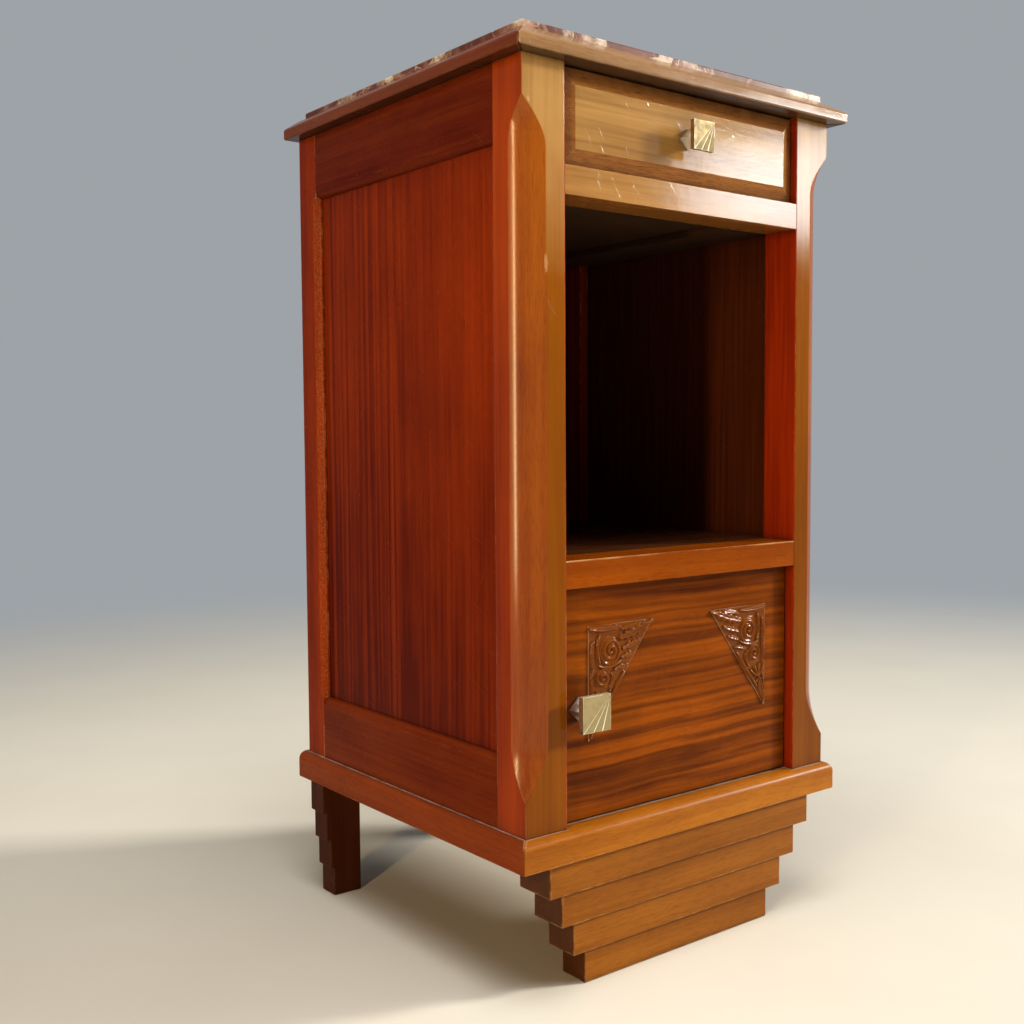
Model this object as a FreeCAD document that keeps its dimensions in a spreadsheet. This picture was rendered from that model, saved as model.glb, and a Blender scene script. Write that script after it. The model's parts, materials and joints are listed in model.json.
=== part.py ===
import FreeCAD, Part
import Sketcher
import os
import re

# Bedside cabinet: marble in a mitred cornice frame, one drawer, an open niche and one door.
# Construction frame: x from the middle to the right, y from the carcass front to the back, z from the floor.

document = FreeCAD.newDocument("side_cabinet")

sizes = {
    # carcass
    "opening_width": 299.0,
    "carcass_depth": 374.0,
    "door_opening_height": 207.0,
    "shelf_rail_height": 24.6,
    "niche_height": 307.0,
    "drawer_rail_height": 24.8,
    "drawer_opening_height": 83.2,
    "rear_overhang": 7.0,
    "cut_overrun": 5.0,
    # front posts and their stopped chamfers
    "post_width": 45.5,
    "post_depth": 39.0,
    "chamfer_front": 25.0,
    "chamfer_side": 19.0,
    "chamfer_camber": 3.0,
    "low_stop": 30.0,
    "high_stop": 33.6,
    "low_runout": 50.0,
    "high_runout": 38.0,
    # side frames
    "rear_post_width": 30.0,
    "rear_post_depth": 34.0,
    "side_rail_thickness": 24.0,
    "side_top_rail_height": 64.6,
    "side_bottom_rail_height": 64.0,
    "side_panel_recess": 8.0,
    "side_panel_thickness": 10.0,
    "rail_bead_radius": 7.0,
    "rail_bead_quirk": 0.8,
    "stile_chamfer_depth": 5.5,
    "stile_chamfer_width": 6.0,
    "panel_tongue": 8.0,
    "tenon_length": 20.0,
    "tenon_thickness": 9.0,
    "tenon_shoulder": 4.0,
    # back
    "back_panel_thickness": 6.0,
    "back_panel_inset": 2.0,
    # dust frame below the drawer
    "runner_thickness": 20.0,
    "runner_lap": 32.0,
    "guide_height": 18.0,
    "dust_panel_thickness": 5.0,
    "rear_rail_depth": 22.0,
    "stop_width": 26.0,
    "stop_depth": 9.0,
    "stop_height": 5.5,
    "stop_spacing": 190.0,
    # niche floor
    "shelf_thickness": 12.0,
    "bearer_width": 17.0,
    "bearer_height": 18.0,
    # base frame
    "base_thickness": 27.0,
    "base_overhang": 9.0,
    "base_frame_width": 62.0,
    "base_round": 8.5,
    "base_panel_thickness": 10.0,
    "base_panel_drop": 5.0,
    # stepped front foot
    "plinth_layer_height": 30.0,
    "plinth_side_inset": 24.6,
    "plinth_side_step": 16.3,
    "plinth_front_proud": 2.5,
    "plinth_front_step": 3.9,
    "plinth_back": 40.0,
    # stepped rear legs
    "leg_side_proud": 8.4,
    "leg_step": 4.1,
    "leg_inner_inset": 36.0,
    "leg_depth": 26.0,
    "leg_rear_inset": 18.0,
    # cornice and marble
    "cornice_overhang": 14.5,
    "cornice_height": 22.4,
    "cornice_frame_width": 75.0,
    "cornice_bevel_drop": 12.2,
    "marble_inset": 4.2,
    "marble_rear_inset": 6.5,
    "marble_thickness": 18.0,
    "marble_proud": 5.3,
    "top_panel_thickness": 6.0,
    # drawer
    "drawer_recess": 7.5,
    "drawer_front_thickness": 19.5,
    "drawer_field_rise": 3.5,
    "drawer_field_bevel": 14.5,
    "drawer_side_gap": 1.0,
    "drawer_top_gap": 1.2,
    "drawer_foot_gap": 0.3,
    "drawer_length": 318.0,
    "drawer_side_thickness": 10.0,
    "drawer_side_height": 62.0,
    "drawer_side_lap": 11.0,
    "drawer_back_thickness": 9.0,
    "drawer_bottom_thickness": 5.0,
    "drawer_bottom_lift": 8.0,
    "drawer_groove": 4.5,
    # door
    "door_recess": 10.0,
    "door_thickness": 20.0,
    "door_gap": 1.5,
    "door_stop_gap": 0.3,
    "door_stop_height": 8.0,
    "door_stop_length": 140.0,
    "carving_width": 78.0,
    "carving_height": 102.0,
    "carving_edge": 33.0,
    "carving_drop": 36.0,
    "carving_thickness": 4.0,
    # pivot hinges
    "pivot_edge": 20.0,
    "pivot_front": 6.5,
    "pin_radius": 2.5,
    "pin_clearance": 0.05,
    "pin_reach": 12.0,
    "leaf_length": 46.0,
    "leaf_end": 9.0,
    "leaf_width": 10.0,
    "leaf_thickness": 2.5,
    "hinge_screw_radius": 1.4,
    "hinge_screw_head": 2.8,
    "hinge_screw_sink": 1.6,
    "hinge_screw_length": 13.0,
    "hinge_screw_first": 14.0,
    "hinge_screw_pitch": 15.0,
    "hinge_screw_slot": 0.7,
    "hinge_screw_slot_depth": 0.6,
    "screw_clearance": 0.05,
    # ball catch
    "catch_edge": 14.0,
    "catch_front": 7.0,
    "catch_radius": 4.0,
    "catch_length": 19.0,
    "catch_floor": 2.0,
    "ball_radius": 2.75,
    "ball_clearance": 0.3,
    "ball_bite": 0.9,
    "spring_radius": 1.9,
    "spring_wire": 0.3,
    "spring_pitch": 1.9,
    "strike_length": 28.0,
    "strike_width": 11.0,
    "strike_thickness": 1.5,
    "strike_hole_radius": 2.6,
    "strike_pocket_depth": 2.0,
    # knobs
    "drawer_knob_width": 26.0,
    "drawer_knob_thickness": 4.6,
    "drawer_knob_foot": 14.2,
    "drawer_knob_neck": 7.0,
    "drawer_knob_stand": 16.4,
    "door_knob_width": 32.0,
    "door_knob_thickness": 5.4,
    "door_knob_foot": 15.6,
    "door_knob_neck": 8.0,
    "door_knob_stand": 19.6,
    "door_knob_edge": 21.5,
    "door_knob_height": 100.0,
    "knob_screw_radius": 2.0,
    "knob_screw_reach": 8.0,
    "knob_screw_head_radius": 4.0,
    "knob_screw_head_height": 2.4,
    "knob_screw_play": 0.3,
}
layer_count = 4
screws_per_leaf = 2
sides = (-1, 1)

# Places and lengths that follow from the sizes
places = {
    "half_opening": "opening_width / 2",
    "half_width": "half_opening + post_width",
    "panel_inside": "half_width - side_panel_recess - side_panel_thickness",
    "rear_post_front": "carcass_depth - rear_post_depth",
    "rear_face": "carcass_depth + rear_overhang",
    "side_panel_low": "base_top + side_bottom_rail_height",
    "side_panel_high": "carcass_top - side_top_rail_height",
    "bead_inside": "rail_bead_quirk + rail_bead_radius - half_width",
    "top_bead": "side_panel_high + rail_bead_radius",
    "bottom_bead": "side_panel_low - rail_bead_radius",
    "back_panel_front": "carcass_depth - back_panel_inset - back_panel_thickness",
    "base_underside": f"plinth_layer_height * {layer_count}",
    "base_top": "base_underside + base_thickness",
    "shelf_rail_bottom": "base_top + door_opening_height",
    "shelf_top": "shelf_rail_bottom + shelf_rail_height",
    "drawer_rail_bottom": "shelf_top + niche_height",
    "drawer_floor": "drawer_rail_bottom + drawer_rail_height",
    "carcass_top": "drawer_floor + drawer_opening_height",
    "cornice_top": "carcass_top + cornice_height",
    "marble_top_height": "cornice_top + marble_proud",
    "marble_bottom": "marble_top_height - marble_thickness",
    "base_side": "half_width + base_overhang",
    "cornice_side": "half_width + cornice_overhang",
    "drawer_half": "half_opening - drawer_side_gap",
    "drawer_low": "drawer_floor + drawer_foot_gap",
    "drawer_high": "carcass_top - drawer_top_gap",
    "drawer_front_back": "drawer_recess + drawer_front_thickness",
    "drawer_end": "drawer_recess + drawer_length",
    "drawer_bottom_low": "drawer_low + drawer_bottom_lift",
    "drawer_bottom_high": "drawer_bottom_low + drawer_bottom_thickness",
    "drawer_inside": "drawer_half - drawer_side_thickness",
    "drawer_middle": "(drawer_low + drawer_high) / 2",
    "door_half": "half_opening - door_gap",
    "door_low": "base_top + door_gap",
    "door_high": "shelf_rail_bottom - door_gap",
    "door_back": "door_recess + door_thickness",
    "pivot_x": "door_half - pivot_edge",
    "pivot_y": "door_recess + pivot_front",
    "catch_x": "catch_edge - door_half",
    "catch_y": "door_recess + catch_front",
    "ball_centre": "door_high + door_gap + ball_bite - ball_radius",
    "bore_radius": "ball_radius + ball_clearance",
    "bore_bottom": "door_high - catch_length + catch_floor",
    "spring_rim": "sqrt(ball_radius ^ 2 - spring_radius ^ 2)",
    "spring_top": "ball_centre - spring_rim - spring_wire - ball_clearance",
    "chamfer_chord": "sqrt(chamfer_front ^ 2 + chamfer_side ^ 2)",
    "chamfer_corner": "chamfer_front * chamfer_side / chamfer_chord",
    "camber_radius": "(chamfer_chord ^ 2 / 4 + chamfer_camber ^ 2) / (2 * chamfer_camber)",
    "runout_depth": "chamfer_corner - chamfer_camber",
    "low_runout_radius": "(low_runout ^ 2 + runout_depth ^ 2) / (2 * runout_depth) + chamfer_camber",
    "high_runout_radius": "(high_runout ^ 2 + runout_depth ^ 2) / (2 * runout_depth) + chamfer_camber",
    "camber_depth": "camber_radius - chamfer_camber",
    "chamfer_low": "base_top + low_stop + low_runout",
    "chamfer_high": "carcass_top - high_stop - high_runout",
    "carving_x": "half_opening - carving_edge",
    "carving_top": "shelf_rail_bottom - carving_drop",
    "drawer_knob_reach": "drawer_knob_stand + drawer_knob_thickness + drawer_field_rise - drawer_recess",
    "door_knob_reach": "door_knob_stand + door_knob_thickness - door_recess",
    "front_reach": "max(cornice_overhang; drawer_knob_reach; door_knob_reach)",
    "shift_y": "(front_reach - rear_face) / 2",
}

sheet = document.addObject("Spreadsheet::Sheet", "sizes")
for row, (alias, value) in enumerate(sizes.items(), start=1):
    sheet.set(f"A{row}", alias)
    sheet.set(f"B{row}", str(value))
    sheet.setAlias(f"B{row}", alias)
document.recompute()

pieces = []
word = re.compile(r"[a-z_]\w*")


def formula(text):
    # spells a formula out in the sheet's cells
    def spell(match):
        name = match.group(0)
        if name in places:
            return f"({formula(places[name])})"
        return f"sizes.{name}" if name in sizes else name
    return word.sub(spell, str(text))


def bind(item, **values):
    for prop, text in values.items():
        item.setExpression(prop.replace("__", "."), formula(text))
    return item


def put(item, x=0, y=0, z=0):
    return bind(item, Placement__Base__x=x, Placement__Base__y=y, Placement__Base__z=z)


def turn(item, axis, angle):
    item.Placement.Rotation = FreeCAD.Rotation(FreeCAD.Vector(*axis), angle)
    return item


def box(name, x, y, z):
    item = document.addObject("Part::Box", name)
    bind(item, Length=f"({x[1]}) - ({x[0]})", Width=f"({y[1]}) - ({y[0]})", Height=f"({z[1]}) - ({z[0]})")
    return put(item, x[0], y[0], z[0])


def around(middle, width):
    return f"({middle}) - ({width}) / 2", f"({middle}) + ({width}) / 2"


def cylinder(name, radius, start, length, axis="z"):
    item = document.addObject("Part::Cylinder", name)
    if axis == "x":
        turn(item, (0, 1, 0), 90)
    if axis == "y":
        turn(item, (1, 0, 0), -90)
    bind(item, Radius=radius, Height=length)
    return put(item, *start)


def cone(name, low_radius, high_radius, start, length):
    item = document.addObject("Part::Cone", name)
    bind(item, Radius1=low_radius, Radius2=high_radius, Height=length)
    return put(item, *start)


def ring(name, ring_radius, bar_radius):
    # a torus round the x axis
    item = document.addObject("Part::Torus", name)
    return bind(turn(item, (0, 1, 0), 90), Radius1=ring_radius, Radius2=bar_radius)


def prism(name, axis, outline, start, end):
    # an outline in the plane across the axis, drawn out from start to end
    sketch = document.addObject("Sketcher::SketchObject", f"{name}_outline")
    corners = len(outline)
    unit = [FreeCAD.Vector(index, index * index, 0) for index in range(corners)]
    for index in range(corners):
        sketch.addGeometry(Part.LineSegment(unit[index], unit[(index + 1) % corners]))
    for index in range(corners):
        sketch.addConstraint(Sketcher.Constraint("Coincident", index, 2, (index + 1) % corners, 1))
    for index, place in enumerate(outline):
        for kind, text in zip(("DistanceX", "DistanceY"), place):
            number = sketch.addConstraint(Sketcher.Constraint(kind, -1, 1, index, 1, 1.0))
            sketch.setExpression(f"Constraints[{number}]", formula(text))
    if axis == "x":
        turn(sketch, (1, 1, 1), 120)
        put(sketch, x=start)
    if axis == "y":
        turn(sketch, (1, 0, 0), 90)
        put(sketch, y=end)
    if axis == "z":
        put(sketch, z=start)
    item = document.addObject("Part::Extrusion", name)
    item.Base = sketch
    item.DirMode = "Normal"
    item.Solid = True
    return bind(item, LengthFwd=f"({end}) - ({start})")


def frustum(name, base, top, rise):
    # a block on the plane y = 0 that narrows towards +y
    item = document.addObject("Part::Wedge", name)
    for level, ends in (("", base), ("2", top)):
        for letter, width in zip("XZ", ends):
            bind(item, **{f"{letter}{level}min": f"-({width}) / 2", f"{letter}{level}max": f"({width}) / 2"})
    return bind(item, Ymin=0, Ymax=rise)


def fuse(name, parts):
    item = document.addObject("Part::MultiFuse", name)
    item.Shapes = parts
    item.Refine = True
    return item


def cut(name, base, tools):
    item = document.addObject("Part::Cut", name)
    item.Base = base
    item.Tool = tools[0] if len(tools) == 1 else fuse(f"{name}_tools", tools)
    item.Refine = True
    return item


def mirror(name, source):
    item = document.addObject("Part::Mirroring", name)
    item.Source = source
    item.Normal = (1, 0, 0)
    return item


def piece(label, *solids):
    # a finished sub-part, moved so that the origin lies under the middle of the cabinet
    item = document.addObject("Part::Compound", f"{label}_piece")
    item.Links = list(solids)
    item.Label = label
    put(item, y="shift_y")
    pieces.append(item)


def both_sides(name, item):
    # the left piece and its mirror image on the right
    piece(f"{name}_left", item)
    piece(f"{name}_right", mirror(f"{name}_mirror", item))


def span(half):
    return f"-({half})", half


# Panels come first: their edges cut the grooves that hold them.
side_panel = box(
    "side_panel_body",
    ("side_panel_recess - half_width", "-(panel_inside)"),
    ("post_depth - panel_tongue", "rear_post_front + panel_tongue"),
    ("side_panel_low - panel_tongue", "side_panel_high + panel_tongue"),
)
back_panel = box(
    "back_panel_body",
    span("half_width - rear_post_width + panel_tongue"),
    ("back_panel_front", "back_panel_front + back_panel_thickness"),
    ("base_top", "carcass_top"),
)
dust_panel = box(
    "dust_panel_body",
    span("half_opening - runner_lap + panel_tongue"),
    ("post_depth - panel_tongue", "rear_post_front + panel_tongue"),
    around("drawer_floor - runner_thickness / 2", "dust_panel_thickness"),
)
base_panel = box(
    "base_panel_body",
    span("base_side - base_frame_width + panel_tongue"),
    ("base_frame_width - base_overhang - panel_tongue", "rear_face - base_frame_width + panel_tongue"),
    ("base_top - base_panel_drop - base_panel_thickness", "base_top - base_panel_drop"),
)
top_panel = box(
    "top_panel_body",
    span("cornice_side - cornice_frame_width + panel_tongue"),
    (
        "cornice_frame_width - cornice_overhang - panel_tongue",
        "rear_face - cornice_frame_width + panel_tongue",
    ),
    ("marble_bottom - top_panel_thickness", "marble_bottom"),
)
marble = box(
    "marble_body",
    span("half_width - marble_inset"),
    ("marble_inset", "carcass_depth - marble_rear_inset"),
    ("marble_bottom", "marble_top_height"),
)


# Tenons: each one is part of its rail and also cuts the mortise in the post.
def side_tenons(name, low, high):
    x = around("side_rail_thickness / 2 - half_width + side_panel_recess / 2", "tenon_thickness")
    z = (f"{low} + tenon_shoulder", f"{high} - tenon_shoulder")
    front = box(f"{name}_front_tenon", x, ("post_depth - tenon_length", "post_depth"), z)
    rear = box(f"{name}_rear_tenon", x, ("rear_post_front", "rear_post_front + tenon_length"), z)
    return front, rear


def cross_tenons(name, low, high):
    y = around("post_depth / 2", "tenon_thickness")
    z = (f"{low} + tenon_shoulder", f"{high} - tenon_shoulder")
    start = box(f"{name}_left_tenon", ("-(half_opening + tenon_length)", "-(half_opening)"), y, z)
    end = box(f"{name}_right_tenon", ("half_opening", "half_opening + tenon_length"), y, z)
    return start, end


top_tenons = side_tenons("side_top", "side_panel_high + panel_tongue", "carcass_top")
bottom_tenons = side_tenons("side_bottom", "base_top", "side_panel_low - panel_tongue")
drawer_tenons = cross_tenons("drawer_rail", "drawer_rail_bottom", "drawer_floor")
shelf_tenons = cross_tenons("shelf_rail", "shelf_rail_bottom", "shelf_top")


# Stopped chamfer on a post's outer corner: a cambered face that runs out on a long hollow at both ends.
def post_chamfer():
    depth = ("-(chamfer_chord)", "chamfer_camber")
    blank = box("chamfer_blank", span("chamfer_chord"), depth, ("chamfer_low", "chamfer_high"))
    start = ("0", "camber_depth", "chamfer_low")
    camber = cylinder("chamfer_camber_body", "camber_radius", start, "chamfer_high - chamfer_low")
    waste = [cut("chamfer_run", blank, [camber])]
    for end in ("low", "high"):
        radius = f"{end}_runout_radius"
        start = ("-(chamfer_chord)", f"-({radius})", f"chamfer_{end}")
        disc = cylinder(f"chamfer_{end}_disc", f"{radius} + chamfer_camber", start, "2 * chamfer_chord", "x")
        swell = ring(f"chamfer_{end}_ring", f"{radius} + camber_depth", "camber_radius")
        put(swell, 0, f"-({radius})", f"chamfer_{end}")
        waste.append(cut(f"chamfer_{end}_end", disc, [swell]))
    tool = fuse("chamfer_tool", waste)
    bind(tool, Placement__Rotation__Angle="-atan(chamfer_side / chamfer_front)")
    return put(tool, "chamfer_front / 2 - half_width", "chamfer_side / 2")


post_blank = box(
    "front_post_blank", ("-(half_width)", "-(half_opening)"),
    ("0", "post_depth"), ("base_top", "carcass_top"),
)
post_tools = [
    post_chamfer(), side_panel, top_tenons[0], bottom_tenons[0], drawer_tenons[0], shelf_tenons[0],
]
both_sides("front_post", cut("front_post_left_solid", post_blank, post_tools))

rear_blank = box(
    "rear_post_blank", ("-(half_width)", "rear_post_width - half_width"),
    ("rear_post_front", "carcass_depth"), ("base_top", "carcass_top"),
)
stile_chamfer = prism(
    "stile_chamfer", "z",
    [
        ("-(half_width) - cut_overrun", "rear_post_front - cut_overrun"),
        ("stile_chamfer_depth - half_width", "rear_post_front - cut_overrun"),
        ("stile_chamfer_depth - half_width", "rear_post_front"),
        ("-(half_width)", "rear_post_front + stile_chamfer_width"),
        ("-(half_width) - cut_overrun", "rear_post_front + stile_chamfer_width"),
    ],
    "side_panel_low", "side_panel_high",
)
rear_tools = [stile_chamfer, side_panel, top_tenons[1], bottom_tenons[1], back_panel]
both_sides("rear_post", cut("rear_post_left_solid", rear_blank, rear_tools))


# Side rails, with a quarter-round bead along the edge that faces the panel
def side_rail(name, low, high, bead, waste, tenons):
    along = ("post_depth", "rear_post_front")
    blank = box(f"{name}_blank", ("-(half_width)", "side_rail_thickness - half_width"), along, (low, high))
    edge = box(f"{name}_edge", ("-(half_width) - cut_overrun", "bead_inside"), along, waste)
    start = ("bead_inside", "post_depth", bead)
    round_bar = cylinder(f"{name}_bead", "rail_bead_radius", start, "rear_post_front - post_depth", "y")
    shaped = cut(f"{name}_shaped", blank, [cut(f"{name}_edge_waste", edge, [round_bar]), side_panel])
    both_sides(name, fuse(f"{name}_solid", [shaped, *tenons]))


side_rail(
    "side_top_rail", "side_panel_high", "carcass_top", "top_bead",
    ("side_panel_high - cut_overrun", "top_bead"), top_tenons,
)
side_rail(
    "side_bottom_rail", "base_top", "side_panel_low", "bottom_bead",
    ("bottom_bead", "side_panel_low + cut_overrun"), bottom_tenons,
)
both_sides("side_panel", side_panel)
piece("back_panel", back_panel)

# Dust frame that carries the drawer
drawer_rail_blank = box(
    "drawer_rail_blank", span("half_opening"), ("0", "post_depth"), ("drawer_rail_bottom", "drawer_floor"),
)
drawer_rail_grooved = cut("drawer_rail_grooved", drawer_rail_blank, [dust_panel])
piece("drawer_rail", fuse("drawer_rail_solid", [drawer_rail_grooved, *drawer_tenons]))
rear_rail_blank = box(
    "drawer_rear_rail_blank", span("half_width - rear_post_width"),
    ("rear_post_front", "rear_post_front + rear_rail_depth"),
    ("drawer_floor - runner_thickness", "drawer_floor"),
)
piece("drawer_rear_rail", cut("drawer_rear_rail_solid", rear_rail_blank, [dust_panel]))
runner = fuse("drawer_runner_blank", [
    box(
        "runner_bed", ("-(panel_inside)", "runner_lap - half_opening"), ("post_depth", "rear_post_front"),
        ("drawer_floor - runner_thickness", "drawer_floor"),
    ),
    box(
        "runner_guide", ("-(panel_inside)", "-(half_opening)"), ("post_depth", "rear_post_front"),
        ("drawer_floor - runner_thickness", "drawer_floor + guide_height"),
    ),
])
both_sides("drawer_runner", cut("drawer_runner_left_solid", runner, [dust_panel]))
piece("dust_panel", dust_panel)
stops = []
for side in sides:
    stops.append(box(
        f"drawer_stop_{len(stops)}", around(f"{side} * stop_spacing / 2", "stop_width"),
        ("drawer_front_back", "drawer_front_back + stop_depth"),
        ("drawer_floor", "drawer_floor + stop_height"),
    ))
piece("drawer_stops", *stops)

# Niche floor
rear_posts = [rear_blank]
rear_posts.append(box(
    "rear_post_right_place", ("half_width - rear_post_width", "half_width"),
    ("rear_post_front", "carcass_depth"), ("base_top", "carcass_top"),
))
shelf_blank = box(
    "shelf_panel_blank", span("panel_inside"), ("post_depth", "back_panel_front"),
    ("shelf_top - shelf_thickness", "shelf_top"),
)
piece("shelf_panel", cut("shelf_panel_solid", shelf_blank, rear_posts))
both_sides("shelf_bearer", box(
    "shelf_bearer_left_solid", ("-(panel_inside)", "bearer_width - panel_inside"),
    ("post_depth", "rear_post_front"),
    ("shelf_top - shelf_thickness - bearer_height", "shelf_top - shelf_thickness"),
))


# Mitred frames: the front member and the side members meet on a 45 degree line from the outer corner.
def mitre(name, side_x, front_y, width, low, high, keep):
    near = (f"-({side_x}) - cut_overrun", f"{front_y} - cut_overrun")
    far = (f"{width} - ({side_x}) + cut_overrun", f"{front_y} + {width} + cut_overrun")
    third = (near[0], far[1]) if keep == "front" else (far[0], near[1])
    return prism(name, "z", [near, far, third], f"{low} - cut_overrun", f"{high} + cut_overrun")


def round_edge(name, axis, corner, start, end):
    # the waste outside a quarter round along the top outer edge
    middle = f"{corner} + base_round"
    height = ("base_top - base_round", "base_top")
    if axis == "x":
        waste = box(f"{name}_waste", (start, end), (corner, middle), height)
        rod = cylinder(f"{name}_rod", "base_round", (start, middle, height[0]), f"({end}) - ({start})", "x")
    else:
        waste = box(f"{name}_waste", (corner, middle), (start, end), height)
        rod = cylinder(f"{name}_rod", "base_round", (middle, start, height[0]), f"({end}) - ({start})", "y")
    return cut(name, waste, [rod])


base_height = ("base_underside", "base_top")
base_front_y = "-(base_overhang)"
base_mitre = ("base_side", base_front_y, "base_frame_width", *base_height)


# Pivot hinges: leaves let into rail and base, their pins in leaves let into the door's ends
def countersunk(name, x, y, face, grows, room):
    # a screw whose head lies flush with a face, the shank going up or down from it
    head = f"hinge_screw_head + {room}"
    shank = f"hinge_screw_radius + {room}"
    if grows == "+":
        sink = cone(f"{name}_head", head, shank, (x, y, face), "hinge_screw_sink")
        stem = cylinder(f"{name}_shank", shank, (x, y, face), f"hinge_screw_length + {room}")
    else:
        sink = cone(f"{name}_head", shank, head, (x, y, f"{face} - hinge_screw_sink"), "hinge_screw_sink")
        foot = f"{face} - hinge_screw_length - {room}"
        stem = cylinder(f"{name}_shank", shank, (x, y, foot), f"hinge_screw_length + {room}")
    return fuse(name, [sink, stem])


def slotted(name, screw, x, y, face, grows):
    depth = (face, f"{face} {grows} hinge_screw_slot_depth")
    low_high = depth if grows == "+" else (depth[1], depth[0])
    slot = box(f"{name}_slot", around(x, "2 * hinge_screw_head"), around(y, "hinge_screw_slot"), low_high)
    return cut(f"{name}_slotted", screw, [slot])


leaf_x = ("pivot_x + leaf_end - leaf_length", "pivot_x + leaf_end")
leaf_y = around("pivot_y", "leaf_width")
frame_leaves = []
door_leaves = []
frame_screws = []
door_screws = []
frame_tools = {}
door_tools = []
for end, frame_face, door_face, grows in (
    ("upper", "shelf_rail_bottom", "door_high", "+"), ("lower", "base_top", "door_low", "-"),
):
    back = "-" if grows == "+" else "+"
    frame_z = (frame_face, f"{frame_face} {grows} leaf_thickness")
    door_z = (door_face, f"{door_face} {back} leaf_thickness")
    if grows == "+":
        door_z = (door_z[1], door_z[0])
        pin_low = "door_high - pin_reach"
    else:
        frame_z = (frame_z[1], frame_z[0])
        pin_low = "base_top - leaf_thickness"
    pin_length = "pin_reach + door_gap + leaf_thickness"
    frame_plate = box(f"{end}_frame_plate", leaf_x, leaf_y, frame_z)
    door_plate = box(f"{end}_door_plate", leaf_x, leaf_y, door_z)
    pin = cylinder(f"{end}_pin", "pin_radius", ("pivot_x", "pivot_y", pin_low), pin_length)
    pin_room = cylinder(
        f"{end}_pin_room", "pin_radius + pin_clearance", ("pivot_x", "pivot_y", f"{pin_low} - door_gap"),
        f"{pin_length} + 2 * door_gap",
    )
    frame_holes = []
    door_holes = []
    for number in range(screws_per_leaf):
        place = f"pivot_x - hinge_screw_first - {number} * hinge_screw_pitch"
        for owner, face, way, screws, holes in (
            ("frame", frame_face, grows, frame_screws, frame_holes),
            ("door", door_face, back, door_screws, door_holes),
        ):
            name = f"{end}_{owner}_screw_{number}"
            screw = countersunk(name, place, "pivot_y", face, way, "0")
            screws.append(slotted(name, screw, place, "pivot_y", face, way))
            holes.append(countersunk(f"{name}_hole", place, "pivot_y", face, way, "screw_clearance"))
    drilled = cut(f"{end}_frame_plate_drilled", frame_plate, frame_holes)
    frame_leaves.append(fuse(f"{end}_frame_leaf", [drilled, pin]))
    door_leaves.append(cut(f"{end}_door_leaf", door_plate, [pin_room, *door_holes]))
    frame_tools[end] = [frame_plate, *frame_holes]
    door_tools += [door_plate, pin_room, *door_holes]
piece("hinge_frame_leaves", *frame_leaves)
piece("hinge_frame_screws", *frame_screws)

# Ball catch: a sprung ball in a barrel in the door's top edge, and a strike in the rail above it
strike_plate = box(
    "strike_plate", around("catch_x", "strike_length"), around("catch_y", "strike_width"),
    ("shelf_rail_bottom", "shelf_rail_bottom + strike_thickness"),
)
strike_hole = cylinder(
    "strike_hole", "strike_hole_radius", ("catch_x", "catch_y", "shelf_rail_bottom - cut_overrun"),
    "strike_thickness + strike_pocket_depth + cut_overrun",
)
barrel_body = cylinder(
    "barrel_body", "catch_radius", ("catch_x", "catch_y", "door_high - catch_length"), "catch_length",
)
barrel_bore = cylinder(
    "barrel_bore", "bore_radius", ("catch_x", "catch_y", "bore_bottom"), "catch_length",
)
piece("catch_strike", cut("catch_strike_solid", strike_plate, [strike_hole]))
piece("catch_barrel", cut("catch_barrel_solid", barrel_body, [barrel_bore]))
ball = document.addObject("Part::Sphere", "catch_ball_body")
bind(ball, Radius="ball_radius")
put(ball, "catch_x", "catch_y", "ball_centre")
piece("catch_ball", ball)
door_tools.append(barrel_body)

coil = document.addObject("Part::Helix", "spring_coil")
bind(coil, Radius="spring_radius", Pitch="spring_pitch", Height="spring_top - bore_bottom - 2 * spring_wire")
wire = document.addObject("Part::Circle", "spring_wire_section")
turn(wire, (1, 0, 0), 90)
bind(wire, Radius="spring_wire")
put(wire, "spring_radius")
spring = document.addObject("Part::Sweep", "catch_spring_sweep")
spring.Sections = [wire]
spring.Spine = coil
spring.Solid = True
spring.Frenet = True
put(spring, "catch_x", "catch_y", "bore_bottom + spring_wire")
piece("catch_spring", spring)

# Cross rail above the door, with the lip that stops the door
shelf_rail_blank = fuse("shelf_rail_blank", [
    box("shelf_rail_bar", span("half_opening"), ("0", "post_depth"), ("shelf_rail_bottom", "shelf_top")),
    box(
        "door_stop_lip", ("-(half_opening)", "door_stop_length - half_opening"),
        ("door_back + door_stop_gap", "post_depth"), ("shelf_rail_bottom - door_stop_height", "shelf_top"),
    ),
    *shelf_tenons,
])
shelf_rail_tools = [*frame_tools["upper"], strike_plate, strike_hole]
piece("shelf_rail", cut("shelf_rail_solid", shelf_rail_blank, shelf_rail_tools))

# Base frame under the carcass
base_front_blank = box(
    "base_front_blank", span("base_side"), (base_front_y, f"{base_front_y} + base_frame_width"), base_height,
)
front_mitre = mitre("base_front_mitre", *base_mitre, "front")
base_front_tools = [
    front_mitre, mirror("base_front_mitre_right", front_mitre), base_panel, *frame_tools["lower"],
    round_edge("base_front_round", "x", base_front_y, "-(base_side)", "base_side"),
]
piece("base_front", cut("base_front_solid", base_front_blank, base_front_tools))
base_side_blank = box(
    "base_side_blank", ("-(base_side)", "base_frame_width - base_side"),
    (base_front_y, "rear_face"), base_height,
)
base_side_tools = [
    mitre("base_side_mitre", *base_mitre, "side"), base_panel,
    round_edge("base_side_round", "y", "-(base_side)", base_front_y, "rear_face"),
]
both_sides("base", cut("base_left_solid", base_side_blank, base_side_tools))
base_back_blank = box(
    "base_back_blank", span("base_side - base_frame_width"), ("rear_face - base_frame_width", "rear_face"),
    base_height,
)
piece("base_back", cut("base_back_solid", base_back_blank, [base_panel]))
piece("base_panel", base_panel)

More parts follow.
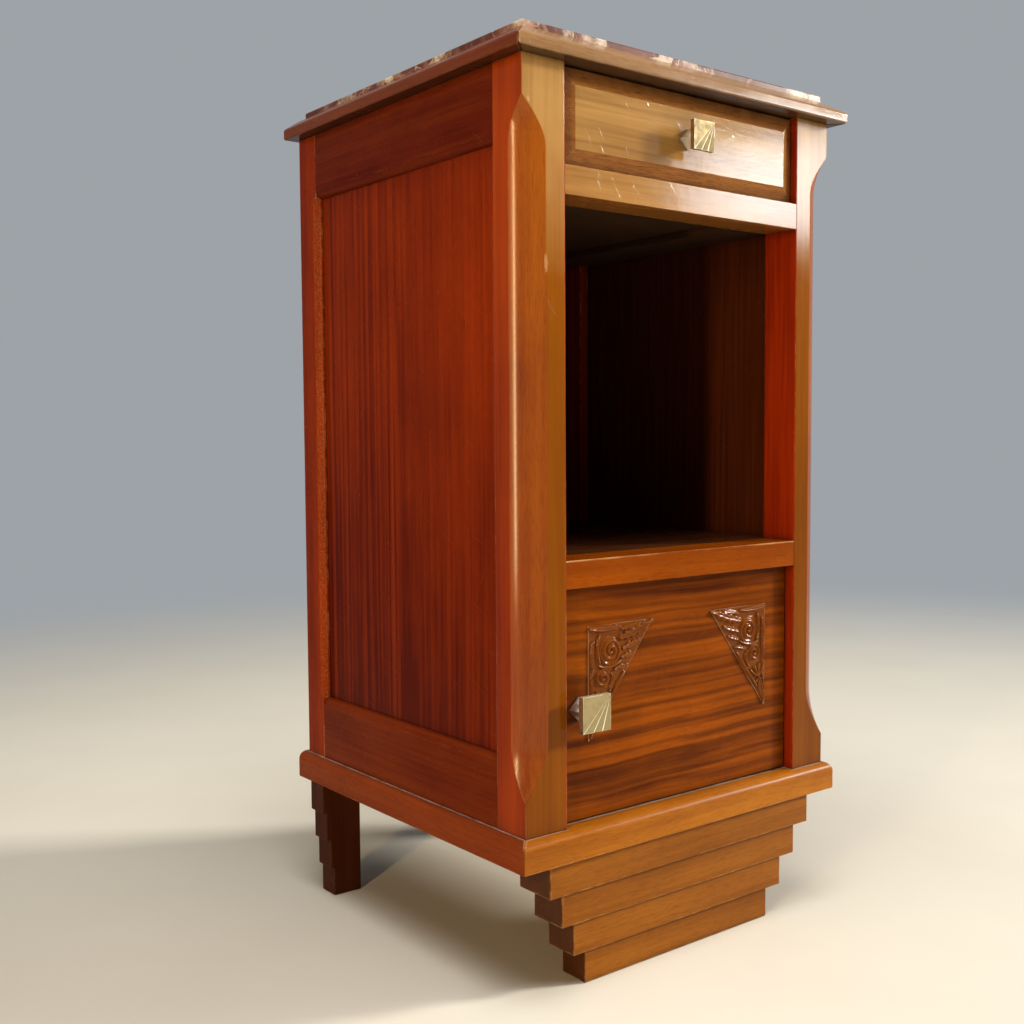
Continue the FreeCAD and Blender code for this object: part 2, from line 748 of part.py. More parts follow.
# Stepped foot in front and stepped legs behind, in layers of the same height
level = []
for number in range(layer_count):
    high = f"base_underside - {number} * plinth_layer_height"
    level.append((f"{high} - plinth_layer_height", high))
    piece(f"plinth_layer_{number + 1}", box(
        f"plinth_board_{number + 1}", span(f"half_width - plinth_side_inset - {number} * plinth_side_step"),
        (f"{number} * plinth_front_step - plinth_front_proud", "plinth_back"), level[number],
    ))
leg_outline = [("leg_inner_inset - half_width", "0"), ("leg_inner_inset - half_width", "base_underside")]
for number, (low, high) in enumerate(level):
    outer = f"{number} * leg_step - leg_side_proud - half_width"
    leg_outline += [(outer, high), (outer, low)]
both_sides("rear_leg", prism(
    "rear_leg_left_solid", "y", leg_outline,
    "carcass_depth - leg_rear_inset - leg_depth", "carcass_depth - leg_rear_inset",
))

# Cornice frame round the marble: bevelled above, with an undercut below its fascia
cornice_z = ("carcass_top", "cornice_top")
cornice_front_y = "-(cornice_overhang)"
cornice_mitre = ("cornice_side", cornice_front_y, "cornice_frame_width", *cornice_z)


def cornice_waste(name, axis, face, inner, start, end):
    # what the bevel takes off a square bar whose outer face lies at face
    past = f"{face} - cut_overrun"
    shoulder = "cornice_top - cornice_bevel_drop"
    above = "cornice_top + cut_overrun"
    bevel = [(face, shoulder), (inner, "cornice_top"), (inner, above), (past, above), (past, shoulder)]
    return prism(f"{name}_bevel", axis, bevel, start, end)


cornice_front_blank = box(
    "cornice_front_blank", span("cornice_side"),
    (cornice_front_y, f"{cornice_front_y} + cornice_frame_width"), cornice_z,
)
front_mitre = mitre("cornice_front_mitre", *cornice_mitre, "front")
cornice_front_tools = [
    front_mitre, mirror("cornice_front_mitre_right", front_mitre), marble, top_panel,
    cornice_waste("cornice_front", "x", cornice_front_y, "marble_inset", "-(cornice_side)", "cornice_side"),
]
piece("cornice_front", cut("cornice_front_solid", cornice_front_blank, cornice_front_tools))
cornice_side_blank = box(
    "cornice_side_blank", ("-(cornice_side)", "cornice_frame_width - cornice_side"),
    (cornice_front_y, "rear_face"), cornice_z,
)
cornice_side_tools = [
    mitre("cornice_side_mitre", *cornice_mitre, "side"), marble, top_panel,
    cornice_waste(
        "cornice_side", "y", "-(cornice_side)", "marble_inset - half_width", cornice_front_y, "rear_face",
    ),
]
both_sides("cornice", cut("cornice_left_solid", cornice_side_blank, cornice_side_tools))
cornice_back_blank = box(
    "cornice_back_blank", span("cornice_side - cornice_frame_width"),
    ("rear_face - cornice_frame_width", "rear_face"), cornice_z,
)
piece("cornice_back", cut("cornice_back_solid", cornice_back_blank, [marble, top_panel]))
piece("top_panel", top_panel)
piece("marble_top", marble)


# Knobs: a square plate on a pyramid foot, held by a screw from behind the board
def knob(name, x, face, z, board_back):
    plate_face = f"{face} - {name}_stand"
    plate = box(
        f"{name}_plate_block", around(x, f"{name}_width"),
        (f"{plate_face} - {name}_thickness", plate_face), around(z, f"{name}_width"),
    )
    foot = frustum(f"{name}_foot_block", [f"{name}_foot"] * 2, [f"{name}_neck"] * 2, f"{name}_stand")
    diamond = FreeCAD.Rotation(FreeCAD.Vector(0, 1, 0), 45)
    foot.Placement.Rotation = FreeCAD.Rotation(FreeCAD.Vector(0, 0, 1), 180).multiply(diamond)
    put(foot, x, face, z)
    tip = f"{face} - knob_screw_reach"
    shank = cylinder(f"{name}_shank", "knob_screw_radius", (x, tip, z), f"{board_back} - ({tip})", "y")
    head = cylinder(
        f"{name}_head", "knob_screw_head_radius", (x, board_back, z), "knob_screw_head_height", "y",
    )
    tapped = cylinder(
        f"{name}_tapped", "knob_screw_radius + screw_clearance", (x, tip, z),
        "knob_screw_reach + cut_overrun", "y",
    )
    bore = cylinder(
        f"{name}_bore", "knob_screw_radius + knob_screw_play", (x, tip, z),
        f"{board_back} - ({tip}) + cut_overrun", "y",
    )
    piece(f"{name}_plate", plate)
    piece(f"{name}_foot", cut(f"{name}_foot_solid", foot, [tapped]))
    piece(f"{name}_screw", fuse(f"{name}_screw_solid", [shank, head]))
    return bore


# Drawer
drawer_bore = knob(
    "drawer_knob", "0", "drawer_recess - drawer_field_rise", "drawer_middle", "drawer_front_back",
)
drawer_bottom = box(
    "drawer_bottom_board", span("drawer_inside + drawer_groove"),
    ("drawer_front_back - drawer_groove", "drawer_end"), ("drawer_bottom_low", "drawer_bottom_high"),
)
drawer_side = box(
    "drawer_side_blank", ("-(drawer_half)", "-(drawer_inside)"),
    ("drawer_front_back - drawer_side_lap", "drawer_end"), ("drawer_low", "drawer_low + drawer_side_height"),
)
drawer_front_width = "2 * drawer_half"
drawer_front_height = "drawer_high - drawer_low"
drawer_field = frustum(
    "drawer_field", (drawer_front_width, drawer_front_height),
    (f"{drawer_front_width} - 2 * drawer_field_bevel", f"{drawer_front_height} - 2 * drawer_field_bevel"),
    "drawer_field_rise",
)
turn(drawer_field, (0, 0, 1), 180)
put(drawer_field, y="drawer_recess", z="drawer_middle")
drawer_board = box(
    "drawer_board", span("drawer_half"),
    ("drawer_recess", "drawer_front_back"), ("drawer_low", "drawer_high"),
)
drawer_front_tools = [drawer_side, mirror("drawer_side_place", drawer_side), drawer_bottom, drawer_bore]
drawer_front_blank = fuse("drawer_front_blank", [drawer_board, drawer_field])
piece("drawer_front", cut("drawer_front_solid", drawer_front_blank, drawer_front_tools))
both_sides("drawer_side", cut("drawer_side_left_solid", drawer_side, [drawer_bottom]))
piece("drawer_back", box(
    "drawer_back_board", span("drawer_inside"), ("drawer_end - drawer_back_thickness", "drawer_end"),
    ("drawer_bottom_high", "drawer_low + drawer_side_height"),
))
piece("drawer_bottom", drawer_bottom)

# Door
door_bore = knob(
    "door_knob", "door_knob_edge - half_opening", "door_recess", "base_top + door_knob_height", "door_back",
)
door_board = box("door_board", span("door_half"), ("door_recess", "door_back"), ("door_low", "door_high"))
piece("door_panel", cut("door_panel_solid", door_board, [*door_tools, door_bore]))
both_sides("carved_corner", prism(
    "carved_corner_left_solid", "y",
    [
        ("-(carving_x)", "carving_top"),
        ("carving_width - carving_x", "carving_top"),
        ("-(carving_x)", "carving_top - carving_height"),
    ],
    "door_recess - carving_thickness", "door_recess",
))
piece("hinge_door_leaves", *door_leaves)
piece("hinge_door_screws", *door_screws)

document.recompute()
failed = [item.Label for item in document.Objects if {"Invalid", "Error"} & set(item.State)]
for item in pieces:
    if item.Shape.isNull() or not item.Shape.isValid() or not item.Shape.Solids:
        failed.append(item.Label)
if failed:
    raise RuntimeError(f"not built: {', '.join(failed)}")

os.makedirs("parts", exist_ok=True)
for item in pieces:
    item.Shape.exportStep(f"parts/{item.Label}.step")
print(len(pieces), "pieces written")
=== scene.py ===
import bpy
import json
import math
import numpy as np
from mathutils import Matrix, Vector


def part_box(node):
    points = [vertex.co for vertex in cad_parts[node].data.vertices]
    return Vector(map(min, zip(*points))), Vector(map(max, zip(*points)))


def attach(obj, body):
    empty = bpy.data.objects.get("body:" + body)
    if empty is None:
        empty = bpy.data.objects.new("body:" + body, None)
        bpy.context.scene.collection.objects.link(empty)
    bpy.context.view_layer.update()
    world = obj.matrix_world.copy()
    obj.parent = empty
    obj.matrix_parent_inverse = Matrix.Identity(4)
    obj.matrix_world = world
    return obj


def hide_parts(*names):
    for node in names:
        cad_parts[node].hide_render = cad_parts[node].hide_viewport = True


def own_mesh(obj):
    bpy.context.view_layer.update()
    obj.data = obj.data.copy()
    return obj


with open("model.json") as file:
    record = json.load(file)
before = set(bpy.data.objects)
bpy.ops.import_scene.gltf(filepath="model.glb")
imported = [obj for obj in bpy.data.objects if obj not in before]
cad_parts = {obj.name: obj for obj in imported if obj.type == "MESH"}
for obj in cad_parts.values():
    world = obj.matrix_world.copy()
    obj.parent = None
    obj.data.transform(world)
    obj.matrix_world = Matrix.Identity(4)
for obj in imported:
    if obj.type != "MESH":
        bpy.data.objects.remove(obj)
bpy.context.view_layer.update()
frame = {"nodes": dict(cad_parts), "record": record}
bodyOf = {node: body for body, nodes in frame["record"]["behaviour"]["bodies"].items() for node in nodes}
print("frame loaded:", len(frame["nodes"]), "nodes")


# selection

def deselectAll():
    if bpy.context.object and bpy.context.object.mode != "OBJECT":
        bpy.ops.object.mode_set(mode="OBJECT")
    bpy.ops.object.select_all(action="DESELECT")


def makeActive(piece):
    deselectAll()
    piece.select_set(True)
    bpy.context.view_layer.objects.active = piece


def editMode(piece, kind="VERT"):
    makeActive(piece)
    bpy.ops.object.mode_set(mode="EDIT")
    bpy.ops.mesh.select_mode(type=kind)


def editAll(piece):
    editMode(piece)
    bpy.ops.mesh.select_all(action="SELECT")


def objectMode():
    bpy.ops.object.mode_set(mode="OBJECT")


def selectVertices(piece, test):
    # picks vertices by their place; call it in edit mode
    bpy.ops.mesh.select_all(action="DESELECT")
    objectMode()
    for vertex in piece.data.vertices:
        vertex.select = test(vertex.co)
    bpy.ops.object.mode_set(mode="EDIT")


def applyModifier(piece, name, kind, **options):
    made = piece.modifiers.new(name, kind)
    for option, value in options.items():
        setattr(made, option, value)
    bpy.ops.object.modifier_apply(modifier=name)


# shader nodes

def addNode(tree, kind, sockets=None, **options):
    made = tree.nodes.new(kind)
    for option, value in options.items():
        setattr(made, option, value)
    for label, value in (sockets or {}).items():
        socket = made.inputs[label]
        if isinstance(value, bpy.types.NodeSocket):
            tree.links.new(value, socket)
        else:
            socket.default_value = (*value, 1.0) if socket.type == "RGBA" else value
    return made


def calc(tree, operation, first, second=0.0, clamp=False):
    made = addNode(tree, "ShaderNodeMath", {0: first, 1: second}, operation=operation, use_clamp=clamp)
    return made.outputs[0]


def times(tree, first, second, clamp=False):
    return calc(tree, "MULTIPLY", first, second, clamp)


def vectorCalc(tree, operation, first, second):
    return addNode(tree, "ShaderNodeVectorMath", {0: first, 1: second}, operation=operation).outputs[0]


def scaled(tree, vector, factor):
    return addNode(tree, "ShaderNodeVectorMath", {0: vector, "Scale": factor}, operation="SCALE").outputs[0]


def lengthOf(tree, vector):
    return addNode(tree, "ShaderNodeVectorMath", {0: vector}, operation="LENGTH").outputs["Value"]


def separate(tree, vector):
    return addNode(tree, "ShaderNodeSeparateXYZ", {0: vector}).outputs


def spread(tree, value, low, high, toLow=0.0, toHigh=1.0):
    made = addNode(tree, "ShaderNodeMapRange", {0: value, 1: low, 2: high, 3: toLow, 4: toHigh})
    return made.outputs[0]


def mixColour(tree, factor, first, second):
    return addNode(tree, "ShaderNodeMix", {0: factor, 6: first, 7: second}, data_type="RGBA").outputs[2]


def noise(tree, vector, scale=1.0, detail=2.0, rough=0.5, output="Fac"):
    sockets = {"Vector": vector, "Scale": scale, "Detail": detail, "Roughness": rough}
    return addNode(tree, "ShaderNodeTexNoise", sockets).outputs[output]


def blotches(tree, vector, look, toLow=0.0, toHigh=1.0):
    # look: scale, detail and roughness of the noise, then the values where the edge begins and ends
    scale, detail, rough, low, high = look
    return spread(tree, noise(tree, vector, scale, detail, rough), low, high, toLow, toHigh)


def cells(tree, vector, scale, feature):
    return addNode(tree, "ShaderNodeTexVoronoi", {"Vector": vector, "Scale": scale}, feature=feature).outputs


def bumped(tree, shader, height, strength, distance):
    bump = addNode(tree, "ShaderNodeBump", {"Height": height, "Strength": strength, "Distance": distance})
    tree.links.new(bump.outputs[0], shader.inputs["Normal"])
    return bump


def ownNormal(tree):
    # in the piece's own space, so that what it masks turns with the door
    normal = addNode(tree, "ShaderNodeNewGeometry").outputs["Normal"]
    turned = addNode(
        tree, "ShaderNodeVectorTransform", {0: normal},
        vector_type="NORMAL", convert_from="WORLD", convert_to="OBJECT",
    )
    return separate(tree, turned.outputs[0])


def newGroup(name, values, outputs):
    # a group that takes a vector and the values listed
    tree = bpy.data.node_groups.new(name, "ShaderNodeTree")
    tree.interface.new_socket("Vector", in_out="INPUT", socket_type="NodeSocketVector")
    for label, value in values.items():
        socket = tree.interface.new_socket(label, in_out="INPUT", socket_type="NodeSocketFloat")
        socket.default_value = value
    for label in outputs:
        tree.interface.new_socket(label, in_out="OUTPUT", socket_type="NodeSocketFloat")
    return tree, tree.nodes.new("NodeGroupInput").outputs, tree.nodes.new("NodeGroupOutput").inputs


def useGroup(tree, group, sockets):
    return addNode(tree, "ShaderNodeGroup", sockets, node_tree=group).outputs


# finishes that the materials share

grainLook = {
    "seedStep": (3.1, 4.7, 2.3), "sway": (5.0, 5.0, 4.0), "ribbonLength": 1.1,
    "ribbons": (1.0, 1.0, 0.4, 0.36, 0.64),
    # how often they repeat across and along the fibres, then as in blotches
    "streaks": ((240.0, 240.0, 6.0), (1.0, 4.0, 0.6, 0.3, 0.7)),
    "clouds": ((15.0, 15.0, 8.0), (1.0, 3.0, 0.55, 0.3, 0.7)),
    "pores": ((1300.0, 1300.0, 80.0), (1.0, 2.0, 0.5, 0.52, 0.66)),
}


def centredNoise(tree, vector, scale, detail, rough):
    return vectorCalc(tree, "SUBTRACT", noise(tree, vector, scale, detail, rough, "Color"), (0.5, 0.5, 0.5))


def grainGroup():
    # wood whose fibres run along the third coordinate
    values = {"Seed": 0.0, "Ribbon": 40.0, "Wave": 0.004}
    tree, given, result = newGroup("mahoganyGrain", values, ["Ribbons", "Streaks", "Clouds", "Pores"])
    place = vectorCalc(tree, "ADD", given["Vector"], scaled(tree, grainLook["seedStep"], given["Seed"]))
    sway = centredNoise(tree, vectorCalc(tree, "MULTIPLY", place, grainLook["sway"]), 1.0, 2.0, 0.5)
    place = vectorCalc(tree, "ADD", place, scaled(tree, sway, given["Wave"]))
    parts = separate(tree, place)
    repeats = (given["Ribbon"], given["Ribbon"], grainLook["ribbonLength"])
    bands = {axis: times(tree, parts[axis], repeat) for axis, repeat in enumerate(repeats)}
    banded = addNode(tree, "ShaderNodeCombineXYZ", bands).outputs[0]
    tree.links.new(blotches(tree, banded, grainLook["ribbons"]), result["Ribbons"])
    for part in ("streaks", "clouds", "pores"):
        repeats, look = grainLook[part]
        stretched = vectorCalc(tree, "MULTIPLY", place, repeats)
        tree.links.new(blotches(tree, stretched, look), result[part.capitalize()])
    return tree


wearLook = {
    "bend": (0.985, 0.80), "flakes": (85.0, 4.0, 0.65, 0.44, 0.62), "patches": (9.0, 2.0, 0.5, 0.36, 0.62),
}


def wearGroup():
    # rubbed arrises and small chips
    tree, given, result = newGroup("edgeWear", {"Radius": 0.0022, "Chips": 0.5}, ["Mask"])
    rounded = addNode(tree, "ShaderNodeBevel", {"Radius": given["Radius"]}, samples=5).outputs[0]
    flat = addNode(tree, "ShaderNodeNewGeometry").outputs["True Normal"]
    match = addNode(tree, "ShaderNodeVectorMath", {0: rounded, 1: flat}, operation="DOT_PRODUCT")
    bend = spread(tree, match.outputs["Value"], *wearLook["bend"])
    flakes = blotches(tree, given["Vector"], wearLook["flakes"])
    patches = blotches(tree, given["Vector"], wearLook["patches"])
    broken = times(tree, flakes, calc(tree, "ADD", patches, given["Chips"]))
    tree.links.new(times(tree, bend, broken, True), result["Mask"])
    return tree


def openness(tree, reach, samples):
    # 1 in the open, less in corners
    return addNode(tree, "ShaderNodeAmbientOcclusion", {"Distance": reach}, samples=samples).outputs["AO"]


grimeAndShadeLook = {"corner": (0.85, 0.35), "clouds": (40.0, 3.0, 0.6, 0.3, 0.7), "thinnest": 0.45}


def grimeAndShadeGroup():
    # old polish and dirt that gathers in corners, and painted shade: darker where corners and recesses hold
    # shade
    tree, given, result = newGroup("cornerGrimeAndShade", {"Reach": 0.012}, ["Mask"])
    corner = spread(tree, openness(tree, given["Reach"], 5), *grimeAndShadeLook["corner"])
    cloud = blotches(tree, given["Vector"], grimeAndShadeLook["clouds"], grimeAndShadeLook["thinnest"])
    tree.links.new(times(tree, corner, cloud, True), result["Mask"])
    return tree


polishLook = {
    "smears": (14.0, 4.0, 0.6), "smearEdge": (0.3, 0.75), "peel": (320.0, 2.0, 0.5), "peelHeight": 0.25,
    # turn and scale of each set of scratches
    "scratches": ((0.5, 22.0), (-0.9, 17.0)), "tilt": 0.7, "thinness": 60.0,
    "scratchLines": (1.0, 1.0, 0.4, 0.765, 0.79), "scratchRough": 0.5,
}


def polishGroup():
    # a hand-rubbed polish: dull smears, fine scratches and a slight orange peel
    values = {"Low": 0.2, "High": 0.4}
    tree, given, result = newGroup("handPolish", values, ["Roughness", "Scratches", "Height"])
    lines = []
    for turn, scale in polishLook["scratches"]:
        turned = {"Vector": given["Vector"], "Rotation": (turn, turn * polishLook["tilt"], turn)}
        turned = addNode(tree, "ShaderNodeMapping", turned).outputs[0]
        thin = vectorCalc(tree, "MULTIPLY", turned, (scale * polishLook["thinness"], scale, scale))
        lines.append(blotches(tree, thin, polishLook["scratchLines"]))
    scratches = calc(tree, "MAXIMUM", lines[0], lines[1])
    smears = noise(tree, given["Vector"], *polishLook["smears"])
    dull = calc(tree, "ADD", smears, times(tree, scratches, polishLook["scratchRough"]))
    rough = spread(tree, dull, *polishLook["smearEdge"], given["Low"], given["High"])
    peel = times(tree, noise(tree, given["Vector"], *polishLook["peel"]), polishLook["peelHeight"])
    tree.links.new(rough, result["Roughness"])
    tree.links.new(scratches, result["Scratches"])
    tree.links.new(calc(tree, "SUBTRACT", peel, scratches), result["Height"])
    return tree


dustLook = {
    "upward": (0.80, 0.95), "corner": (0.92, 0.62), "clouds": (60.0, 3.0, 0.6, 0.30, 0.60), "thinnest": 0.35,
}


def dustGroup():
    # pale wax and dust on upward faces, close against what rises from them
    tree, given, result = newGroup("settledDust", {"Reach": 0.003}, ["Mask"])
    facing = separate(tree, addNode(tree, "ShaderNodeNewGeometry").outputs["True Normal"])
    upward = spread(tree, facing[2], *dustLook["upward"])
    corner = spread(tree, openness(tree, given["Reach"], 6), *dustLook["corner"])
    cloud = blotches(tree, given["Vector"], dustLook["clouds"], dustLook["thinnest"])
    tree.links.new(times(tree, times(tree, corner, upward), cloud, True), result["Mask"])
    return tree


mahoganyGrain = grainGroup()
edgeWear = wearGroup()
cornerGrimeAndShade = grimeAndShadeGroup()
handPolish = polishGroup()
settledDust = dustGroup()
print("shared finish groups made")


def newFinish(name):
    material = bpy.data.materials.new(name)
    material.use_nodes = True
    tree = material.node_tree
    shader = tree.nodes["Principled BSDF"]
    place = addNode(tree, "ShaderNodeTexCoord").outputs["Object"]
    return material, tree, shader, place


# mahogany

woodTones = {
    "pore": (0.055, 0.010, 0.002),
    "bare": (0.55, 0.30, 0.12),
    # grime and painted shade: the dark of corners, recesses and undersides
    "grime": (0.022, 0.007, 0.003),
    "dust": (0.50, 0.42, 0.36),
    # painted highlight on the crests of the carving
    "crest": (0.52, 0.38, 0.26),
    # front faces: olive lower down, golden and pale higher up, partly sun-fading and partly painted glare
    "oliveLight": (0.255, 0.074, 0.002),
    "oliveDark": (0.136, 0.033, 0.001),
    "bleachedGlareLight": (0.46, 0.255, 0.078),
    "bleachedGlareDark": (0.205, 0.090, 0.019),
}
woodFaces = {
    # parts of the normal where a mask begins and is full
    # below: where the painted shade on downward faces begins and is full
    "side": (0.72, 0.92), "front": (-0.976, -0.990), "below": (-0.55, -0.95), "belowTop": (0.95, 0.85),
    "slantFrom": (0.22, 0.34), "slantTo": (0.95, 0.84),
    "crest": (0.545, 0.60),  # of the pointiness
}
woodMarks = {
    "leafSeed": 5.3, "bleachGlareNoise": (9.0, 3.0, 0.6), "bleachGlareDrift": 0.14, "dustReach": 0.0030,
    "dentNoise": (520.0, 4.0, 0.7), "dentRagged": 1.4, "dentEdge": (1.75, 1.30), "dentShare": 0.6,
    "flakes": (420.0, 4.0, 0.7, 0.44, 0.66),
    "glintBand": (0.0018, 0.0008), "glintPatches": (14.0, 3.0, 0.6, 0.40, 0.62), "glintShare": 0.9,
}
woodPolish = {
    "wornRough": 0.3, "peel": 0.4, "poreDepth": 0.1, "waves": (70.0, 2.0, 0.5), "depth": 0.0003,
    "keptLacquer": (0.64, 0.70), "coatRough": 0.17,
}


def fibres(tree, place, grain):
    # turns the pattern so that the third coordinate runs along the board
    order = {"x": (1, 2, 0), "y": (2, 0, 1), "z": (0, 1, 2)}[grain]
    parts = separate(tree, place)
    turned = {slot: parts[axis] for slot, axis in enumerate(order)}
    return addNode(tree, "ShaderNodeCombineXYZ", turned).outputs[0]


def dent(tree, place, middle, size):
    # an oval mark: 1 in its middle, 0 outside
    away = vectorCalc(tree, "DIVIDE", vectorCalc(tree, "SUBTRACT", place, middle), size)
    rim = times(tree, noise(tree, place, *woodMarks["dentNoise"]), woodMarks["dentRagged"])
    return spread(tree, calc(tree, "ADD", lengthOf(tree, away), rim), *woodMarks["dentEdge"])


def woodFigure(tree, place, parts, look):
    # how pale the wood is, with the grain that it comes from
    seed = addNode(tree, "ShaderNodeAttribute", attribute_name="pieceSeed").outputs["Fac"]
    ribbonShare = look["ribbonShare"]
    if "leafJoint" in look:
        # two veneer leaves meet here, and the rear one is more striped
        leaf = calc(tree, "GREATER_THAN", parts[1], look["leafJoint"])
        seed = calc(tree, "ADD", seed, times(tree, leaf, woodMarks["leafSeed"]))
        ribbonShare = spread(tree, leaf, 0.0, 1.0, look["plainLeaf"], look["ribbonShare"])
    grain = useGroup(tree, mahoganyGrain, {
        "Vector": fibres(tree, place, look["grain"]), "Seed": seed,
        "Ribbon": look["ribbon"], "Wave": look["wave"],
    })
    figure = times(tree, grain["Ribbons"], ribbonShare)
    figure = calc(tree, "ADD", figure, times(tree, grain["Streaks"], look["streakShare"]))
    figure = calc(tree, "ADD", figure, times(tree, grain["Clouds"], look["cloudShare"]))
    for axis, start, end, low, high in look.get("lean", ()):
        # painted light and shade: the board is made paler towards one end
        figure = calc(tree, "ADD", figure, spread(tree, parts[axis], start, end, low, high))
    return grain, figure


def woodStain(tree, place, parts, facing, grain, figure, look):
    colour = mixColour(tree, figure, look["dark"], look["light"])
    colour = mixColour(tree, times(tree, grain["Pores"], look["pores"]), colour, woodTones["pore"])
    if "flank" in look:
        # painted shade: the ends and sides get darker, redder tones than the front; on the plinth partly its
        # darker end grain
        side = spread(tree, calc(tree, "ABSOLUTE", facing[0]), *woodFaces["side"])
        colour = mixColour(tree, side, colour, mixColour(tree, figure, *look["flank"]))
    if "bleach" in look:
        # partly sun-fading, partly painted glare: the front faces get their own tones, golden and pale
        # towards the top
        drift = times(tree, noise(tree, place, *woodMarks["bleachGlareNoise"]), woodMarks["bleachGlareDrift"])
        level = spread(tree, calc(tree, "ADD", parts[2], drift), *look["bleach"])
        olive = mixColour(tree, figure, woodTones["oliveDark"], woodTones["oliveLight"])
        pale = mixColour(tree, figure, woodTones["bleachedGlareDark"], woodTones["bleachedGlareLight"])
        front = spread(tree, facing[1], *woodFaces["front"])
        colour = mixColour(tree, front, colour, mixColour(tree, level, olive, pale))
    # painted shade: faces turned downwards are darkened
    if "underside" in look:
        below = times(tree, spread(tree, facing[2], *woodFaces["below"]), look["underside"])
        colour = mixColour(tree, below, colour, woodTones["grime"])
    if "ridgeHighlight" in look:
        # painted highlight: the crests of the carving are made pale, standing in for glints
        pointed = addNode(tree, "ShaderNodeNewGeometry").outputs["Pointiness"]
        crest = times(tree, spread(tree, pointed, *woodFaces["crest"]), look["ridgeHighlight"])
        colour = mixColour(tree, crest, colour, woodTones["crest"])
    if "innerFace" in look:
        # the faces towards the inside of the case get other tones: painted shade on the side panels, a
        # redder tone on the posts
        inner = calc(tree, "LESS_THAN", calc(tree, "ABSOLUTE", parts[0]), look["innerFace"])
        innerTone = mixColour(tree, grain["Streaks"], look["innerDark"], look["innerLight"])
        colour = mixColour(tree, inner, colour, innerTone)
    grime = useGroup(tree, cornerGrimeAndShade, {"Vector": place, "Reach": look["grimeAndShadeReach"]})["Mask"]
    return mixColour(tree, times(tree, grime, look["grime"]), colour, woodTones["grime"])


def woodWear(tree, place, parts, facing, slant, look):
    # where polish and stain have gone, with painted highlights on some chamfers and arrises
    rubbed = {"Vector": place, "Radius": look["wearRadius"], "Chips": look["chips"]}
    wear = times(tree, useGroup(tree, edgeWear, rubbed)["Mask"], look["wear"], True)
    for middle, size in look.get("dents", ()):
        knock = times(tree, dent(tree, place, middle, size), woodMarks["dentShare"])
        wear = calc(tree, "MAXIMUM", wear, knock)
    # partly wear, partly painted highlight: pale flakes on the slanting face
    if "chamferWearGlint" in look:
        flakes = blotches(tree, place, woodMarks["flakes"], 0.0, look["chamferWearGlint"])
        wear = calc(tree, "MAXIMUM", wear, times(tree, slant, flakes))
    if "wornTop" in look:
        # painted highlight, with some wear: a pale band along the upper arris, but not the top itself
        band = spread(tree, parts[2], *(look["wornTop"] - below for below in woodMarks["glintBand"]))
        band = times(tree, band, spread(tree, facing[2], *woodFaces["belowTop"]))
        patches = blotches(tree, place, woodMarks["glintPatches"], 0.0, woodMarks["glintShare"])
        wear = calc(tree, "MAXIMUM", wear, times(tree, band, patches))
    return wear


def mahogany(name, look):
    # look: tones, grain, ribbon width, how wavy, shares of the figure, wear and polish
    material, tree, shader, place = newFinish(name)
    parts = separate(tree, place)
    facing = ownNormal(tree)
    sideways = calc(tree, "ABSOLUTE", facing[0])
    slant = spread(tree, sideways, *woodFaces["slantFrom"])
    slant = times(tree, slant, spread(tree, sideways, *woodFaces["slantTo"]))
    grain, figure = woodFigure(tree, place, parts, look)
    colour = woodStain(tree, place, parts, facing, grain, figure, look)
    wear = woodWear(tree, place, parts, facing, slant, look)
    gloss = {"Vector": place, "Low": look["glossLow"], "High": look["glossHigh"]}
    polish = useGroup(tree, handPolish, gloss)
    marks = calc(tree, "MAXIMUM", wear, times(tree, polish["Scratches"], look["scratches"]))
    colour = mixColour(tree, marks, colour, woodTones["bare"])
    if "dust" in look:
        dust = useGroup(tree, settledDust, {"Vector": place, "Reach": woodMarks["dustReach"]})["Mask"]
        colour = mixColour(tree, times(tree, dust, look["dust"]), colour, woodTones["dust"])
    tree.links.new(colour, shader.inputs["Base Color"])
    rough = calc(tree, "ADD", polish["Roughness"], times(tree, wear, woodPolish["wornRough"]), True)
    tree.links.new(rough, shader.inputs["Roughness"])
    height = times(tree, polish["Height"], woodPolish["peel"])
    height = calc(tree, "SUBTRACT", height, times(tree, grain["Pores"], woodPolish["poreDepth"]))
    height = calc(tree, "SUBTRACT", height, wear)
    waves = times(tree, noise(tree, place, *woodPolish["waves"]), look["waves"])
    bump = bumped(tree, shader, calc(tree, "ADD", height, waves), look["bump"], woodPolish["depth"])
    if "softEdge" in look:
        arris = addNode(tree, "ShaderNodeBevel", {"Radius": look["softEdge"]}, samples=6)
        tree.links.new(arris.outputs[0], bump.inputs["Normal"])
    if "chamferCoat" in look:
        # the slanting face was burnished, and the upper front kept its lacquer
        front = spread(tree, facing[1], *woodFaces["front"])
        front = times(tree, front, spread(tree, parts[2], *woodPolish["keptLacquer"]))
        coat = times(tree, slant, look["chamferCoat"])
        coat = calc(tree, "ADD", coat, times(tree, front, look["frontCoat"]))
        tree.links.new(coat, shader.inputs["Coat Weight"])
    shader.inputs["Specular IOR Level"].default_value = look["shine"]
    shader.inputs["Coat Roughness"].default_value = woodPolish["coatRough"]
    return material


goldenWood = {
    "light": (0.380, 0.096, 0.003), "dark": (0.195, 0.036, 0.001), "grain": "z",
    "ribbon": 46.0, "wave": 0.006, "pores": 0.30,
    "ribbonShare": 0.32, "streakShare": 0.36, "cloudShare": 0.34,
    "grime": 0.85, "grimeAndShadeReach": 0.010, "wearRadius": 0.0016, "chips": 0.10, "wear": 0.5, "scratches": 0.03,
    "glossLow": 0.18, "glossHigh": 0.32, "shine": 0.10, "bump": 0.25, "waves": 0.3,
}
